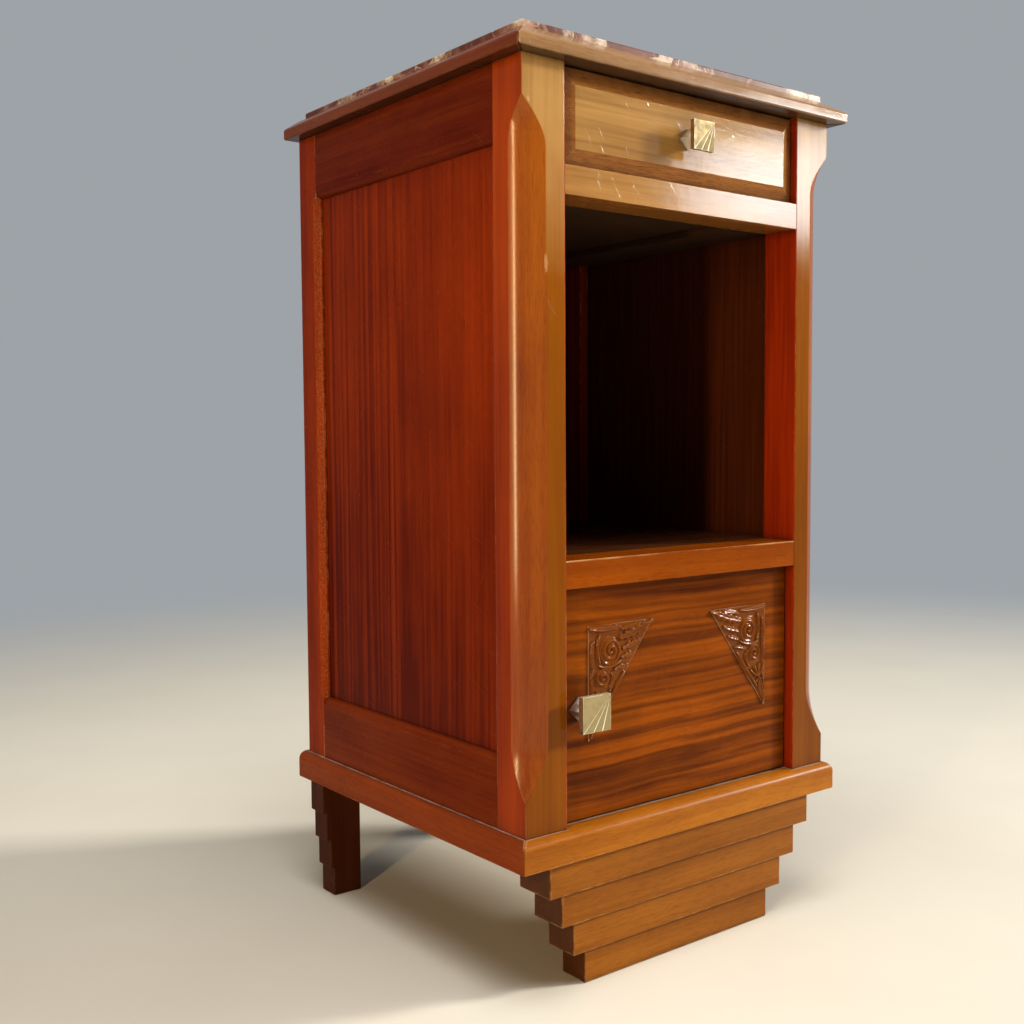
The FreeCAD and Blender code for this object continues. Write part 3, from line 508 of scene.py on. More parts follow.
# partly a redder veneer, partly painted shade: a darker, redder copy of the mahogany for sides, rear and
# pieces in shade
redWood = {
    **goldenWood, "light": (0.330, 0.036, 0.002), "dark": (0.086, 0.006, 0.001),
    "shine": 0.03, "wear": 0.4,
}
fadedWood = {
    **goldenWood, "light": (0.440, 0.150, 0.008), "dark": (0.235, 0.064, 0.003),
    "wear": 1.0, "chips": 0.40, "wearRadius": 0.0030, "glossLow": 0.26, "glossHigh": 0.42,
}
postWood = mahogany("postWood", {
    **goldenWood, "light": (0.400, 0.105, 0.002), "dark": (0.180, 0.024, 0.001),
    "flank": ((0.175, 0.016, 0.001), (0.400, 0.056, 0.001)),
    "innerFace": 0.1502, "innerLight": (0.36, 0.030, 0.003), "innerDark": (0.20, 0.014, 0.002),
    # painted light and glare: the post fronts are made paler and golden upwards
    "bleach": (0.69, 0.83), "lean": ((2, 0.40, 0.74, -0.18, 0.22),),
    "glossLow": 0.10, "glossHigh": 0.16, "shine": 0.09, "bump": 0.20, "waves": 0.15, "softEdge": 0.0022,
    "chamferCoat": 0.4, "frontCoat": 0.3,
    # place and size of each
    "dents": (
        ((-0.1702, -0.182, 0.627), (0.0020, 0.003, 0.0075)),
        ((-0.1880, -0.182, 0.757), (0.0016, 0.004, 0.0030)),
    ),
})
drawerLook = {
    **goldenWood, "light": (0.355, 0.142, 0.032), "dark": (0.185, 0.062, 0.012), "grain": "x",
    "bleach": (0.50, 0.72), "ribbonShare": 0.44, "streakShare": 0.56, "cloudShare": 0.30, "pores": 0.5,
    # painted shade: the wide reach darkens the top of the drawer front under the cornice
    "grime": 0.95, "grimeAndShadeReach": 0.030, "glossLow": 0.08, "glossHigh": 0.15, "shine": 0.24,
    "bump": 0.30, "waves": 0.5,
}
drawerWood = mahogany("drawerWood", drawerLook)
drawerRailWood = mahogany("drawerRailWood", {**drawerLook, "bleach": (0.66, 0.82)})
railWood = mahogany("railWood", {
    **goldenWood, "light": (0.285, 0.060, 0.001), "dark": (0.140, 0.023, 0.001), "grain": "x",
    # painted highlight, with some wear: a pale band along the upper arris
    "shine": 0.05, "wornTop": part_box("shelf_rail")[1].z,
})
corniceWood = mahogany("corniceWood", {
    **fadedWood, "light": (0.360, 0.200, 0.080), "dark": (0.185, 0.088, 0.028), "grain": "x",
    "underside": 0.85, "glossLow": 0.12, "glossHigh": 0.22, "shine": 0.44,
})
corniceSideWood = mahogany("corniceSideWood", {
    **redWood, "light": (0.215, 0.050, 0.014), "dark": (0.095, 0.020, 0.006), "grain": "y",
    "underside": 0.7, "wear": 1.0, "chips": 0.40, "shine": 0.12,
})
rearPostWood = mahogany("rearPostWood", {
    # partly wear, partly painted highlight: wide rubbed arrises and pale flakes on the chamfer
    **redWood, "wear": 0.9, "chips": 0.5, "wearRadius": 0.0030, "chamferWearGlint": 0.18,
})
# painted shade: the rear legs stand in the shade under the base and are made near black
legShadeWood = mahogany("legShadeWood", {
    **redWood, "light": (0.074, 0.019, 0.007), "dark": (0.034, 0.008, 0.003), "wear": 0.8,
})
sideRailWood = mahogany("sideRailWood", {
    **redWood, "light": (0.215, 0.034, 0.004), "grain": "y", "wear": 0.15, "wearRadius": 0.0014,
    # painted shade: darker towards the top
    "lean": ((2, 0.55, 0.75, 0.0, -0.25),),
})
baseWood = mahogany("baseWood", {**fadedWood, "grain": "x", "dust": 0.6})
baseSideWood = mahogany("baseSideWood", {
    **redWood, "light": (0.270, 0.052, 0.010), "dark": (0.130, 0.020, 0.004), "grain": "y",
    "wear": 1.0, "chips": 0.4, "wearRadius": 0.0026, "dust": 0.9,
})
plinthWood = mahogany("plinthWood", {
    **fadedWood, "light": (0.330, 0.112, 0.008), "dark": (0.170, 0.048, 0.003), "grain": "x",
    "flank": ((0.045, 0.014, 0.004), (0.095, 0.030, 0.009)), "wear": 1.2, "chips": 0.35,
})
# painted shade: the floor of the niche is made as dark as the shade over it
shelfShadeWood = mahogany("shelfShadeWood", {
    **redWood, "light": (0.085, 0.026, 0.008), "dark": (0.040, 0.011, 0.004), "grain": "x",
})
sideVeneer = mahogany("sideVeneer", {
    **redWood, "ribbon": 150.0, "wave": 0.002, "ribbonShare": 0.42, "streakShare": 0.34, "cloudShare": 0.26,
    "leafJoint": 0.02, "plainLeaf": 0.14, "wear": 0.3,
    # painted light and shade: paler towards the front, darker towards the bottom
    "lean": ((1, 0.16, -0.16, -0.14, 0.30), (2, 0.18, 0.58, -0.42, 0.0)),
    # painted shade: the faces inside the case are made dark
    "innerFace": 0.1855, "innerLight": (0.092, 0.021, 0.006), "innerDark": (0.050, 0.011, 0.003),
})
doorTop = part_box("door_panel")[1].z
doorVeneer = mahogany("doorVeneer", {
    **goldenWood, "light": (0.330, 0.073, 0.001), "dark": (0.040, 0.006, 0.001), "grain": "x",
    "ribbon": 125.0, "wave": 0.018, "pores": 0.25,
    "ribbonShare": 0.50, "streakShare": 0.24, "cloudShare": 0.28,
    # painted shadow: darker at the top under the shelf rail, and a wide reach of painted shade
    "lean": ((2, doorTop - 0.045, doorTop, 0.0, -0.24),), "grimeAndShadeReach": 0.035, "wear": 0.4, "shine": 0.045,
})
carvedWood = mahogany("carvedWood", {
    **goldenWood, "light": (0.215, 0.056, 0.002), "dark": (0.125, 0.028, 0.001), "grain": "x",
    "grime": 0.45, "grimeAndShadeReach": 0.003, "wear": 0.0, "ridgeHighlight": 1.0, "glossLow": 0.10, "glossHigh": 0.16,
    "shine": 0.12, "bump": 0.10,
})


# plain unpolished wood inside the case, with painted shade on the pieces deep inside it

innerLook = {
    "seed": 1.7, "ribbon": 26.0, "wave": 0.01, "pores": 0.4, "grime": 0.6, "grimeAndShadeReach": 0.03,
    "wallFace": (0.80, 0.95), "rough": (0.62, 0.78), "shine": 0.15, "bump": 0.4, "depth": 0.0003,
}
innerTones = {
    # dark and light
    "drawer": ((0.10, 0.046, 0.019), (0.20, 0.105, 0.046)),
    # painted shade: dark tones for pieces in shade inside the case and for the back panel's inner face
    "shaded": ((0.040, 0.018, 0.008), (0.085, 0.042, 0.018)),
    "back": ((0.018, 0.006, 0.003), (0.040, 0.014, 0.006)),
    "raw": ((0.170, 0.090, 0.042), (0.360, 0.220, 0.115)),
}


def innerWood(name, grain, tones, wallTones=None):
    material, tree, shader, place = newFinish(name)
    found = useGroup(tree, mahoganyGrain, {
        "Vector": fibres(tree, place, grain), "Seed": innerLook["seed"],
        "Ribbon": innerLook["ribbon"], "Wave": innerLook["wave"],
    })
    figure = times(tree, calc(tree, "ADD", found["Streaks"], found["Clouds"]), 0.5)
    colour = mixColour(tree, figure, *innerTones[tones])
    if wallTones:
        # the face towards the wall is raw wood; the face inside the case is near black with painted shade
        rear = spread(tree, ownNormal(tree)[1], *innerLook["wallFace"])
        colour = mixColour(tree, rear, colour, mixColour(tree, figure, *innerTones[wallTones]))
    colour = mixColour(tree, times(tree, found["Pores"], innerLook["pores"]), colour, woodTones["pore"])
    grime = useGroup(tree, cornerGrimeAndShade, {"Vector": place, "Reach": innerLook["grimeAndShadeReach"]})["Mask"]
    colour = mixColour(tree, times(tree, grime, innerLook["grime"]), colour, woodTones["grime"])
    tree.links.new(colour, shader.inputs["Base Color"])
    rough = spread(tree, found["Streaks"], 0.0, 1.0, *innerLook["rough"])
    tree.links.new(rough, shader.inputs["Roughness"])
    shader.inputs["Specular IOR Level"].default_value = innerLook["shine"]
    height = calc(tree, "SUBTRACT", found["Streaks"], found["Pores"])
    bumped(tree, shader, height, innerLook["bump"], innerLook["depth"])
    return material


innerLong = innerWood("innerLong", "x", "drawer")
innerDeep = innerWood("innerDeep", "y", "drawer")
shadedLong = innerWood("shadedLong", "x", "shaded")
shadedDeep = innerWood("shadedDeep", "y", "shaded")
innerUpright = innerWood("innerUpright", "z", "back", "raw")


# dark red breccia: broken lumps between pale seams

marbleLook = {
    "ground": (0.085, 0.024, 0.016), "cloud": (0.190, 0.066, 0.048),
    "pink": (0.40, 0.225, 0.170), "cream": (0.70, 0.60, 0.48),
    # scale, detail, roughness and reach of what bends the pattern
    "drifts": ((16.0, 4.0, 0.65, 0.045), (75.0, 4.0, 0.65, 0.020)),
    "clouds": (22.0, 6.0, 0.65, 0.35, 0.70),
    "lumps": 26.0, "seamWidth": (0.09, 0.01), "seamPatches": (12.0, 3.0, 0.6, 0.42, 0.62),
    "shards": 38.0, "paleShards": (0.50, 0.58), "shardEdge": (0.72, 0.36),
    "shardBreaks": (60.0, 4.0, 0.7, 0.36, 0.52), "creamPatches": (40.0, 3.0, 0.6, 0.35, 0.55),
    "hair": 70.0, "hairWidth": (0.035, 0.0), "hairPatches": (30.0, 2.0, 0.5, 0.5, 0.65), "hairShare": 0.8,
    "glossLow": 0.28, "glossHigh": 0.46, "shine": 0.16, "bump": 0.12, "depth": 0.0002,
}


def marbleFinish():
    material, tree, shader, place = newFinish("redMarble")
    bent, ragged = place, place
    for scale, detail, rough, reach in marbleLook["drifts"]:
        drift = scaled(tree, centredNoise(tree, place, scale, detail, rough), reach)
        bent, ragged = ragged, vectorCalc(tree, "ADD", ragged, drift)
    clouds = blotches(tree, bent, marbleLook["clouds"])
    colour = mixColour(tree, clouds, marbleLook["ground"], marbleLook["cloud"])
    lumps = cells(tree, bent, marbleLook["lumps"], "DISTANCE_TO_EDGE")["Distance"]
    seams = spread(tree, lumps, *marbleLook["seamWidth"])
    seams = times(tree, seams, blotches(tree, place, marbleLook["seamPatches"]))
    colour = mixColour(tree, seams, colour, marbleLook["pink"])
    shards = cells(tree, ragged, marbleLook["shards"], "F1")
    pick = addNode(tree, "ShaderNodeSeparateColor", {0: shards["Color"]}).outputs[0]
    pale = spread(tree, pick, *marbleLook["paleShards"])
    pale = times(tree, pale, spread(tree, shards["Distance"], *marbleLook["shardEdge"]))
    pale = times(tree, pale, blotches(tree, ragged, marbleLook["shardBreaks"]))
    creamy = blotches(tree, bent, marbleLook["creamPatches"])
    colour = mixColour(tree, pale, colour, mixColour(tree, creamy, marbleLook["pink"], marbleLook["cream"]))
    hair = cells(tree, bent, marbleLook["hair"], "DISTANCE_TO_EDGE")["Distance"]
    threads = spread(tree, hair, *marbleLook["hairWidth"])
    threads = times(tree, threads, blotches(tree, place, marbleLook["hairPatches"]))
    colour = mixColour(tree, times(tree, threads, marbleLook["hairShare"]), colour, marbleLook["cream"])
    tree.links.new(colour, shader.inputs["Base Color"])
    gloss = {"Vector": place, "Low": marbleLook["glossLow"], "High": marbleLook["glossHigh"]}
    polish = useGroup(tree, handPolish, gloss)
    tree.links.new(polish["Roughness"], shader.inputs["Roughness"])
    bumped(tree, shader, polish["Height"], marbleLook["bump"], marbleLook["depth"])
    shader.inputs["Specular IOR Level"].default_value = marbleLook["shine"]
    return material


# old metal

metalLook = {
    "spotNoise": (5.0, 0.65), "brushNoise": (1.0, 3.0, 0.6), "grimeAndShadeReach": 0.004, "wearRadius": 0.0010,
    "chips": 0.9, "brushRough": 0.12, "rubbedGloss": 0.12, "bump": 0.18, "depth": 0.0002, "bareFrom": 0.5,
    # parts of the normal on the pleats' steep sides and on the left edge
    "steepSide": (0.25, 0.42), "steepFront": (-0.60, -0.72), "leftEdge": (-0.80, -0.95),
}


def metalFinish(name, look):
    material, tree, shader, place = newFinish(name)
    tarnish = blotches(tree, place, (look["spots"], *metalLook["spotNoise"], *look["tarnish"]))
    colour = mixColour(tree, tarnish, look["bright"], look["dull"])
    grime = useGroup(tree, cornerGrimeAndShade, {"Vector": place, "Reach": metalLook["grimeAndShadeReach"]})["Mask"]
    colour = mixColour(tree, times(tree, grime, look["grime"]), colour, look["dirt"])
    rubbed = {"Vector": place, "Radius": metalLook["wearRadius"], "Chips": metalLook["chips"]}
    wear = useGroup(tree, edgeWear, rubbed)["Mask"]
    colour = mixColour(tree, times(tree, wear, look["wear"]), colour, look["rubbed"])
    if "rays" in look:
        # painted highlight, partly rubbed brass: the pleats' steep sides facing the lamps are bright;
        # painted reflection: the left edge is brown
        facing = ownNormal(tree)
        steep = spread(tree, facing[0], *metalLook["steepSide"])
        steep = times(tree, steep, spread(tree, facing[1], *metalLook["steepFront"]))
        colour = mixColour(tree, times(tree, steep, look["rays"]), colour, look["rubbed"])
        colour = mixColour(tree, spread(tree, facing[0], *metalLook["leftEdge"]), colour, look["edge"])
    tree.links.new(colour, shader.inputs["Base Color"])
    brushed = noise(tree, vectorCalc(tree, "MULTIPLY", place, look["brush"]), *metalLook["brushNoise"])
    rough = spread(tree, tarnish, 0.0, 1.0, look["low"], look["high"])
    rough = calc(tree, "ADD", rough, times(tree, brushed, metalLook["brushRough"]))
    rough = calc(tree, "SUBTRACT", rough, times(tree, wear, metalLook["rubbedGloss"]), True)
    tree.links.new(rough, shader.inputs["Roughness"])
    bumped(tree, shader, brushed, metalLook["bump"], metalLook["depth"])
    bare = calc(tree, "SUBTRACT", calc(tree, "ADD", wear, metalLook["bareFrom"]), tarnish)
    metal = spread(tree, bare, 0.0, metalLook["bareFrom"], look["metalLow"], 1.0)
    tree.links.new(metal, shader.inputs["Metallic"])
    return material


redMarble = marbleFinish()
agedBrass = metalFinish("agedBrass", {
    "bright": (0.38, 0.305, 0.150), "dull": (0.28, 0.210, 0.092), "dirt": (0.10, 0.060, 0.020),
    # rubbed: the bright of wear and of the painted highlight on the pleats; edge: painted reflection on the
    # left edge
    "rubbed": (0.93, 0.89, 0.74), "edge": (0.22, 0.115, 0.055),
    "rays": 0.9, "wear": 1.0, "grime": 0.9,
    "spots": 160.0, "tarnish": (0.38, 0.66), "brush": (300.0, 300.0, 1500.0),
    "low": 0.54, "high": 0.66, "metalLow": 0.45,
})
dullNickel = metalFinish("dullNickel", {
    "bright": (0.80, 0.81, 0.78), "dull": (0.55, 0.55, 0.51), "dirt": (0.08, 0.06, 0.04),
    "rubbed": (0.88, 0.87, 0.83), "wear": 0.6, "grime": 0.3,
    "spots": 70.0, "tarnish": (0.46, 0.72), "brush": (900.0, 900.0, 900.0),
    "low": 0.24, "high": 0.36, "metalLow": 0.30,
})
fittingBrass = metalFinish("fittingBrass", {
    "bright": (0.72, 0.53, 0.25), "dull": (0.42, 0.29, 0.12), "dirt": (0.08, 0.05, 0.02),
    "rubbed": (0.88, 0.70, 0.38), "wear": 0.5, "grime": 0.7,
    "spots": 120.0, "tarnish": (0.38, 0.66), "brush": (1200.0, 200.0, 1200.0),
    "low": 0.30, "high": 0.45, "metalLow": 0.8,
})
fittingSteel = metalFinish("fittingSteel", {
    "bright": (0.58, 0.58, 0.57), "dull": (0.34, 0.33, 0.31), "dirt": (0.06, 0.05, 0.04),
    "rubbed": (0.80, 0.80, 0.80), "wear": 0.5, "grime": 0.7,
    "spots": 200.0, "tarnish": (0.38, 0.66), "brush": (900.0, 900.0, 900.0),
    "low": 0.28, "high": 0.42, "metalLow": 0.8,
})
print("finishes made:", len(bpy.data.materials))


# boards: each is the CAD solid with its arrises eased

easing = {
    "merge": 0.00001, "flat": 0.5, "sharpness": 25.0, "fine": 0.0012,
    "shallow": {"drawer_front": 8.0},  # slopes that the usual limit would skip
    "seedStep": 0.37,
}


def markPiece(piece, seed):
    made = piece.data.attributes.new("pieceSeed", "FLOAT", "POINT")
    made.data.foreach_set("value", [seed] * len(piece.data.vertices))


def dress(piece, material, node):
    piece.data.materials.clear()
    piece.data.materials.append(material)
    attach(piece, bodyOf[node])
    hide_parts(node)
    return piece


def mergedCopy(node):
    name = "".join(word.capitalize() if count else word for count, word in enumerate(node.split("_")))
    piece = bpy.data.objects.new(name, frame["nodes"][node].data.copy())
    bpy.context.scene.collection.objects.link(piece)
    editAll(piece)
    if piece.data.has_custom_normals:
        bpy.ops.mesh.customdata_custom_splitnormals_clear()
    bpy.ops.mesh.remove_doubles(threshold=easing["merge"])
    objectMode()
    bpy.ops.object.shade_smooth()
    return piece


def easedCopy(node, ease):
    piece = mergedCopy(node)
    editAll(piece)
    bpy.ops.mesh.dissolve_limited(angle_limit=math.radians(easing["flat"]))
    objectMode()
    sharpness = easing["shallow"].get(node, easing["sharpness"])
    applyModifier(
        piece, "eased", "BEVEL", width=ease, segments=2 if ease < easing["fine"] else 4,
        limit_method="ANGLE", angle_limit=math.radians(sharpness),
        use_clamp_overlap=False, miter_outer="MITER_ARC",
    )
    applyModifier(piece, "flat", "WEIGHTED_NORMAL", keep_sharp=True)
    return piece


boards = {
    # finish and ease of the arrises, then the nodes that share them
    (redMarble, 0.0014): "marble_top",
    (corniceWood, 0.0020): "cornice_front",
    (corniceSideWood, 0.0020): "cornice_left cornice_right",
    (rearPostWood, 0.0007): "rear_post_left rear_post_right",
    (legShadeWood, 0.0008): "rear_leg_left rear_leg_right",
    (sideRailWood, 0.0005):
        "side_top_rail_left side_top_rail_right side_bottom_rail_left side_bottom_rail_right",
    (sideVeneer, 0.0003): "side_panel_left side_panel_right",
    (drawerRailWood, 0.0005): "drawer_rail",
    (drawerWood, 0.0005): "drawer_front",
    (railWood, 0.0005): "shelf_rail",
    (shelfShadeWood, 0.0004): "shelf_panel",
    (baseWood, 0.0010): "base_front",
    (baseSideWood, 0.0010): "base_left base_right",
    (plinthWood, 0.0010): "plinth_layer_1 plinth_layer_2 plinth_layer_3 plinth_layer_4",
    (doorVeneer, 0.0006): "door_panel",
    (dullNickel, 0.0005): "drawer_knob_foot door_knob_foot",
}
done = 0
for (material, ease), nodes in boards.items():
    for node in nodes.split():
        board = easedCopy(node, ease)
        markPiece(board, easing["seedStep"] * done)
        dress(board, material, node)
        done += 1
print("boards eased:", done)

# the cambered posts and the inner pieces keep their CAD solids
inside = {
    postWood: "front_post_left front_post_right",
    innerLong: "cornice_back base_back drawer_back drawer_bottom top_panel base_panel",
    innerDeep: "drawer_side_left drawer_side_right",
    shadedLong: "drawer_rear_rail drawer_stops dust_panel",
    shadedDeep: "drawer_runner_left drawer_runner_right shelf_bearer_left shelf_bearer_right",
    innerUpright: "back_panel",
    fittingBrass: "hinge_frame_leaves hinge_door_leaves catch_strike catch_barrel",
    fittingSteel: "hinge_frame_screws hinge_door_screws drawer_knob_screw door_knob_screw catch_ball",
}
for material, nodes in inside.items():
    for node in nodes.split():
        frame["nodes"][node].data.materials.clear()
        frame["nodes"][node].data.materials.append(material)

# the catch's spring, which shortens as its ball is pressed in, gets a mesh of its own
spring = dress(mergedCopy("catch_spring"), fittingSteel, "catch_spring")
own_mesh(spring)
print("CAD pieces finished")


# knob plates: a flat triangle and a fan of pleats from the upper right corner

fanPlate = {
    # shares of the lower edge
    "cuts": (0.0, 0.08, 0.35, 0.43, 0.67, 0.75), "valleys": (0.08, 0.43, 0.75),
    "depth": 0.0014, "ease": 0.00022, "sharpness": 6.0, "cutMerge": 0.00002, "near": 0.0001,
}


def knobPlate(node, name):
    low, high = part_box(node)
    middle = (low + high) / 2
    deselectAll()
    bpy.ops.mesh.primitive_cube_add(size=1.0, location=middle)
    plate = bpy.context.object
    plate.name = name
    plate.scale = high - low
    bpy.ops.object.transform_apply(location=True, rotation=True, scale=True)
    corner = Vector((high.x, middle.y, high.z))
    width = high.x - low.x
    editMode(plate)
    for share in fanPlate["cuts"]:
        foot = Vector((low.x + share * width, middle.y, low.z))
        across = (foot - corner).cross(Vector((0.0, 1.0, 0.0)))
        bpy.ops.mesh.select_all(action="SELECT")
        bpy.ops.mesh.bisect(plane_co=corner, plane_no=across.normalized(), threshold=fanPlate["cutMerge"])
    # the valleys sink at the lower edge and run out at the corner
    for share in fanPlate["valleys"]:
        foot = Vector((low.x + share * width, low.y, low.z))
        selectVertices(plate, lambda place: (place - foot).length < fanPlate["near"])
        bpy.ops.transform.translate(value=(0.0, fanPlate["depth"], 0.0))
    objectMode()
    bpy.ops.object.shade_smooth()
    applyModifier(
        plate, "eased", "BEVEL", width=fanPlate["ease"], segments=2,
        limit_method="ANGLE", angle_limit=math.radians(fanPlate["sharpness"]),
    )
    applyModifier(plate, "flat", "WEIGHTED_NORMAL")
    return dress(plate, agedBrass, node)


knobPlate("drawer_knob_plate", "drawerKnobPlate")
knobPlate("door_knob_plate", "doorKnobPlate")
print("knob plates made")


# carved corners: roses and leaves in relief, measured in millimetres from the upper outer corner

carving = {
    "millimetre": 0.001, "slantMerge": 0.00005, "rim": 0.0002,  # these three in metres
    "cell": 0.55, "ground": 0.7, "rise": 3.9, "sharpness": 50.0,
    "petalSwell": 0.025, "furrowFloor": 0.42, "furrowPower": 0.7,
    "ribSteps": 41, "leafStart": 0.10, "leafSpan": 0.87, "thinnest": 0.05,
    "toothDepth": 0.18, "leafPower": 2.4, "veinWidth": 0.22,
    # middle, radius, rise, turns of the spiral, petals
    "roses": ((25.5, 24.0, 14.0, 3.9, 2.6, 6), (16.5, 47.5, 9.5, 3.6, 2.0, 5)),
    # points of the midrib, half width, rise, vein depth, teeth
    "leaves": (
        (((2.0, 2.2), (16.0, 4.6), (37.0, 3.2)), 3.2, 3.2, 0.9, 0),
        (((38.0, 13.0), (54.0, 10.0), (76.0, 1.6)), 5.5, 3.8, 1.2, 5),
        (((40.0, 5.5), (50.0, 4.2), (62.0, 2.2)), 2.6, 2.8, 0.8, 0),
        (((41.0, 23.0), (51.0, 20.5), (61.0, 17.5)), 3.6, 3.4, 1.0, 3),
        (((40.0, 31.0), (47.0, 29.5), (54.0, 27.5)), 3.0, 3.2, 0.9, 3),
        (((31.0, 41.0), (38.0, 39.0), (46.0, 38.5)), 3.0, 3.2, 0.9, 2),
        (((41.5, 44.5), (31.0, 58.0), (11.5, 82.0)), 2.0, 3.0, 0.0, 0),
        (((5.0, 14.0), (2.0, 27.0), (4.5, 41.0)), 2.2, 3.0, 0.7, 0),
        (((4.0, 40.0), (1.8, 52.0), (5.0, 64.0)), 2.0, 3.0, 0.7, 0),
        (((12.0, 9.0), (8.0, 20.0), (12.5, 34.0)), 1.7, 3.0, 0.0, 0),
        (((12.0, 36.0), (25.0, 42.0), (38.0, 33.0)), 1.7, 2.8, 0.0, 0),
        (((27.0, 45.0), (30.0, 52.0), (24.0, 60.0)), 2.0, 2.8, 0.5, 0),
        (((9.5, 71.0), (5.0, 66.0), (3.0, 60.5)), 1.6, 3.0, 0.0, 0),
        (((10.0, 71.0), (9.5, 65.0), (9.0, 58.5)), 1.7, 3.3, 0.0, 0),
        (((10.5, 71.0), (14.0, 66.0), (16.0, 60.0)), 1.7, 3.3, 0.0, 0),
        (((11.0, 71.5), (17.0, 68.5), (22.5, 63.5)), 1.6, 3.0, 0.0, 0),
        (((9.0, 73.0), (12.0, 77.0), (15.5, 77.5)), 2.0, 2.8, 0.6, 2),
        (((7.5, 74.0), (4.5, 84.0), (2.0, 98.5)), 2.0, 3.4, 0.8, 0),
        (((9.0, 76.0), (8.5, 84.0), (5.0, 93.0)), 1.7, 3.0, 0.7, 0),
        (((4.5, 68.0), (2.4, 76.0), (2.0, 86.0)), 1.5, 2.8, 0.5, 0),
    ),
}


def roseHeight(x, y, rose):
    middleX, middleY, radius, rise, turns, petals = rose
    angle = np.arctan2(y - middleY, x - middleX)
    away = np.hypot(x - middleX, y - middleY) / radius
    away = away / (1.0 + carving["petalSwell"] * np.cos(petals * angle))
    dome = np.sqrt(np.clip(1.0 - away ** 3, 0.0, 1.0))
    furrow = (0.5 + 0.5 * np.cos(2.0 * np.pi * turns * away - angle)) ** carving["furrowPower"]
    floor = carving["furrowFloor"]
    return rise * dome * (floor + (1.0 - floor) * furrow) * (away < 1.0)


def leafHeight(x, y, leaf):
    (start, bend, tip), half, rise, vein, teeth = leaf
    best = np.full(x.shape, np.inf)
    along = np.zeros(x.shape)
    for t in np.linspace(0.0, 1.0, carving["ribSteps"]):
        ribX, ribY = ((1 - t) ** 2 * start[i] + 2 * t * (1 - t) * bend[i] + t * t * tip[i] for i in (0, 1))
        away = np.hypot(x - ribX, y - ribY)
        nearer = away < best
        best = np.where(nearer, away, best)
        along = np.where(nearer, t, along)
    swell = np.sin(np.pi * (carving["leafStart"] + carving["leafSpan"] * along))
    width = half * np.sqrt(np.clip(swell, 0.0, 1.0))
    if teeth:
        depth = carving["toothDepth"]
        width = width * (1.0 - depth + depth * np.cos(2.0 * np.pi * teeth * along))
    share = best / np.maximum(width, carving["thinnest"])
    body = np.sqrt(np.clip(1.0 - share ** carving["leafPower"], 0.0, 1.0))
    return rise * body - vein * np.exp(-(share / carving["veinWidth"]) ** 2) * (share < 1.0)


def reliefHeight(x, y):
    height = np.full(x.shape, carving["ground"])
    for rose in carving["roses"]:
        height = np.maximum(height, roseHeight(x, y, rose))
    for leaf in carving["leaves"]:
        height = np.maximum(height, leafHeight(x, y, leaf))
    return np.clip(height, carving["ground"], carving["rise"])


def carvedCorner(node, name):
    low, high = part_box(node)
    wide, tall = high.x - low.x, high.z - low.z
    unit = carving["millimetre"]
    cellCounts = [round(span / unit / carving["cell"]) for span in (wide, tall)]
    deselectAll()
    bpy.ops.mesh.primitive_grid_add(
        x_subdivisions=cellCounts[0], y_subdivisions=cellCounts[1], size=1.0,
        location=((low.x + high.x) / 2, high.y, (low.z + high.z) / 2), rotation=(math.pi / 2, 0.0, 0.0),
    )
    relief = bpy.context.object
    relief.name = name
    relief.scale = (wide, tall, 1.0)
    bpy.ops.object.transform_apply(location=True, rotation=True, scale=True)
    # the slanting side, from the upper inner corner to the lower tip
    editAll(relief)
    bpy.ops.mesh.bisect(
        plane_co=(high.x, high.y, high.z), plane_no=(tall, 0.0, -wide),
        threshold=carving["slantMerge"], clear_outer=True,
    )
    objectMode()
    place = np.zeros(len(relief.data.vertices) * 3)
    relief.data.vertices.foreach_get("co", place)
    place = place.reshape(-1, 3)
    inward, downward = (place[:, 0] - low.x) / unit, (high.z - place[:, 2]) / unit
    place[:, 1] = high.y - unit * reliefHeight(inward, downward)
    relief.data.vertices.foreach_set("co", place.ravel())
    relief.data.update()
    # the rim goes back to the door
    editMode(relief, "EDGE")
    bpy.ops.mesh.select_all(action="DESELECT")
    bpy.ops.mesh.select_non_manifold()
    bpy.ops.mesh.extrude_edges_move(TRANSFORM_OT_translate={"value": (0.0, carving["rim"], 0.0)})
    objectMode()
    for vertex in relief.data.vertices:
        if vertex.select:
            vertex.co.y = high.y
    bpy.ops.object.mode_set(mode="EDIT")
    bpy.ops.mesh.edge_face_add()
    bpy.ops.mesh.select_all(action="SELECT")
    bpy.ops.mesh.normals_make_consistent(inside=False)
    objectMode()
    bpy.ops.object.shade_smooth_by_angle(angle=math.radians(carving["sharpness"]))
    return relief


leftCarving = carvedCorner("carved_corner_left", "carvedCornerLeft")
makeActive(leftCarving)
bpy.ops.object.duplicate()
rightCarving = bpy.context.object
rightCarving.name = "carvedCornerRight"
rightCarving.scale.x = -1.0
bpy.ops.object.transform_apply(location=False, rotation=False, scale=True)
editAll(rightCarving)
bpy.ops.mesh.normals_make_consistent(inside=False)
objectMode()
reliefs = {"carved_corner_left": (leftCarving, 0.9), "carved_corner_right": (rightCarving, 1.9)}
for node, (relief, seed) in reliefs.items():
    markPiece(relief, seed)
    dress(relief, carvedWood, node)
print("corners carved:", len(leftCarving.data.polygons), "faces each")


# stage

studio = {
    "size": 60.0, "below": 0.0004, "rough": 0.7, "shine": 0.2, "clouds": (3.0, 4.0, 0.6, 0.3, 0.7),
    "floor": (0.75, 0.715, 0.625), "patch": (0.71, 0.675, 0.585),
    "background": (0.34, 0.365, 0.39), "fadeFrom": 0.8, "fadeTo": 3.0,
    "ambient": (0.95, 0.97, 1.0), "ambientLevel": 0.08,
}


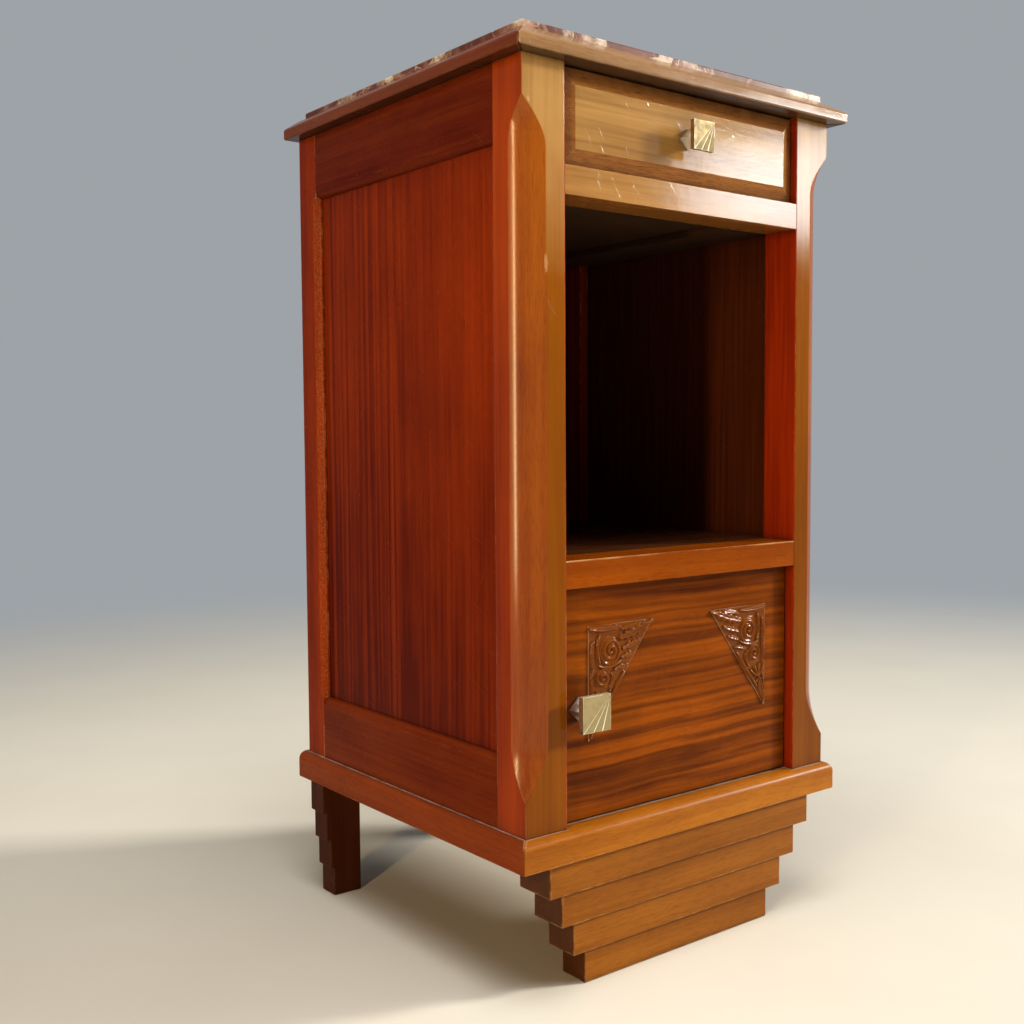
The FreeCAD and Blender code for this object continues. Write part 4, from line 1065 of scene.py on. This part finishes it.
def seenRays(tree):
    # rays that show the backdrop itself
    rays = addNode(tree, "ShaderNodeLightPath").outputs
    seen = calc(tree, "MAXIMUM", rays["Is Camera Ray"], rays["Is Transmission Ray"])
    return calc(tree, "MAXIMUM", seen, rays["Is Glossy Ray"])


deselectAll()
bpy.ops.mesh.primitive_plane_add(size=studio["size"], location=(0.0, 0.0, -studio["below"]))
floor = bpy.context.object
floor.name = "studioFloor"
paleFloor, tree, shader, place = newFinish("paleFloor")
cloudy = blotches(tree, place, studio["clouds"])
tree.links.new(mixColour(tree, cloudy, studio["floor"], studio["patch"]), shader.inputs["Base Color"])
shader.inputs["Roughness"].default_value = studio["rough"]
shader.inputs["Specular IOR Level"].default_value = studio["shine"]
# far away the floor passes into the backdrop
reach = {0: lengthOf(tree, place), 1: studio["fadeFrom"], 2: studio["fadeTo"]}
fade = addNode(tree, "ShaderNodeMapRange", reach, interpolation_type="SMOOTHSTEP").outputs[0]
glow = addNode(tree, "ShaderNodeEmission", {"Color": studio["background"], "Strength": 1.0}).outputs[0]
far = times(tree, fade, seenRays(tree))
blend = addNode(tree, "ShaderNodeMixShader", {0: far, 1: shader.outputs[0], 2: glow}).outputs[0]
tree.links.new(blend, tree.nodes["Material Output"].inputs["Surface"])
floor.data.materials.append(paleFloor)

world = bpy.data.worlds.new("studio")
bpy.context.scene.world = world
world.use_nodes = True
tree = world.node_tree
tree.nodes.clear()
backgrounds = [
    addNode(tree, "ShaderNodeBackground", {"Color": colour, "Strength": strength}).outputs[0]
    for colour, strength in ((studio["ambient"], studio["ambientLevel"]), (studio["background"], 1.0))
]
shown = addNode(tree, "ShaderNodeMixShader", {0: seenRays(tree), 1: backgrounds[0], 2: backgrounds[1]})
addNode(tree, "ShaderNodeOutputWorld", {"Surface": shown.outputs[0]})

lamps = {
    # place, aim, width, height, watts, colour
    "windowLamp": ((6.70, -3.50, 3.20), (0.0, -0.17, 0.45), 1.10, 1.10, 830.0, (1.0, 0.94, 0.84)),
    "glareLamp": ((1.77, -1.61, 1.14), (0.10, -0.17, 0.72), 0.40, 0.26, 8.0, (0.88, 0.95, 1.0)),
    "postLamp": ((-2.02, -0.98, 0.68), (-0.19, -0.17, 0.58), 0.10, 1.10, 22.0, (1.0, 0.70, 0.32)),
    "topLamp": ((-0.5, -0.6, 2.7), (0.0, 0.0, 0.4), 1.4, 1.4, 52.0, (1.0, 0.98, 0.95)),
}
for name, (spot, aim, width, height, watts, colour) in lamps.items():
    lamp = bpy.data.lights.new(name, "AREA")
    lamp.shape = "RECTANGLE"
    lamp.size, lamp.size_y = width, height
    lamp.energy = watts
    lamp.color = colour
    holder = bpy.data.objects.new(name, lamp)
    bpy.context.scene.collection.objects.link(holder)
    holder.location = spot
    holder.rotation_euler = (Vector(aim) - Vector(spot)).to_track_quat("-Z", "Y").to_euler()

# the photo's own viewpoint
shot = {
    "place": (-0.81518, -0.96108, 0.48483), "turn": (86.414, 0.3645, -37.9823),
    "lens": 42.67, "sensor": 36.0, "nearest": 0.01,
}
camera = bpy.data.objects.new("camera", bpy.data.cameras.new("camera"))
bpy.context.scene.collection.objects.link(camera)
camera.location = shot["place"]
camera.rotation_euler = [math.radians(turn) for turn in shot["turn"]]
camera.data.lens = shot["lens"]
camera.data.sensor_width = shot["sensor"]
camera.data.clip_start = shot["nearest"]
bpy.context.scene.camera = camera
bpy.context.scene.view_settings.view_transform = "Standard"
print("stage set")

deselectAll()
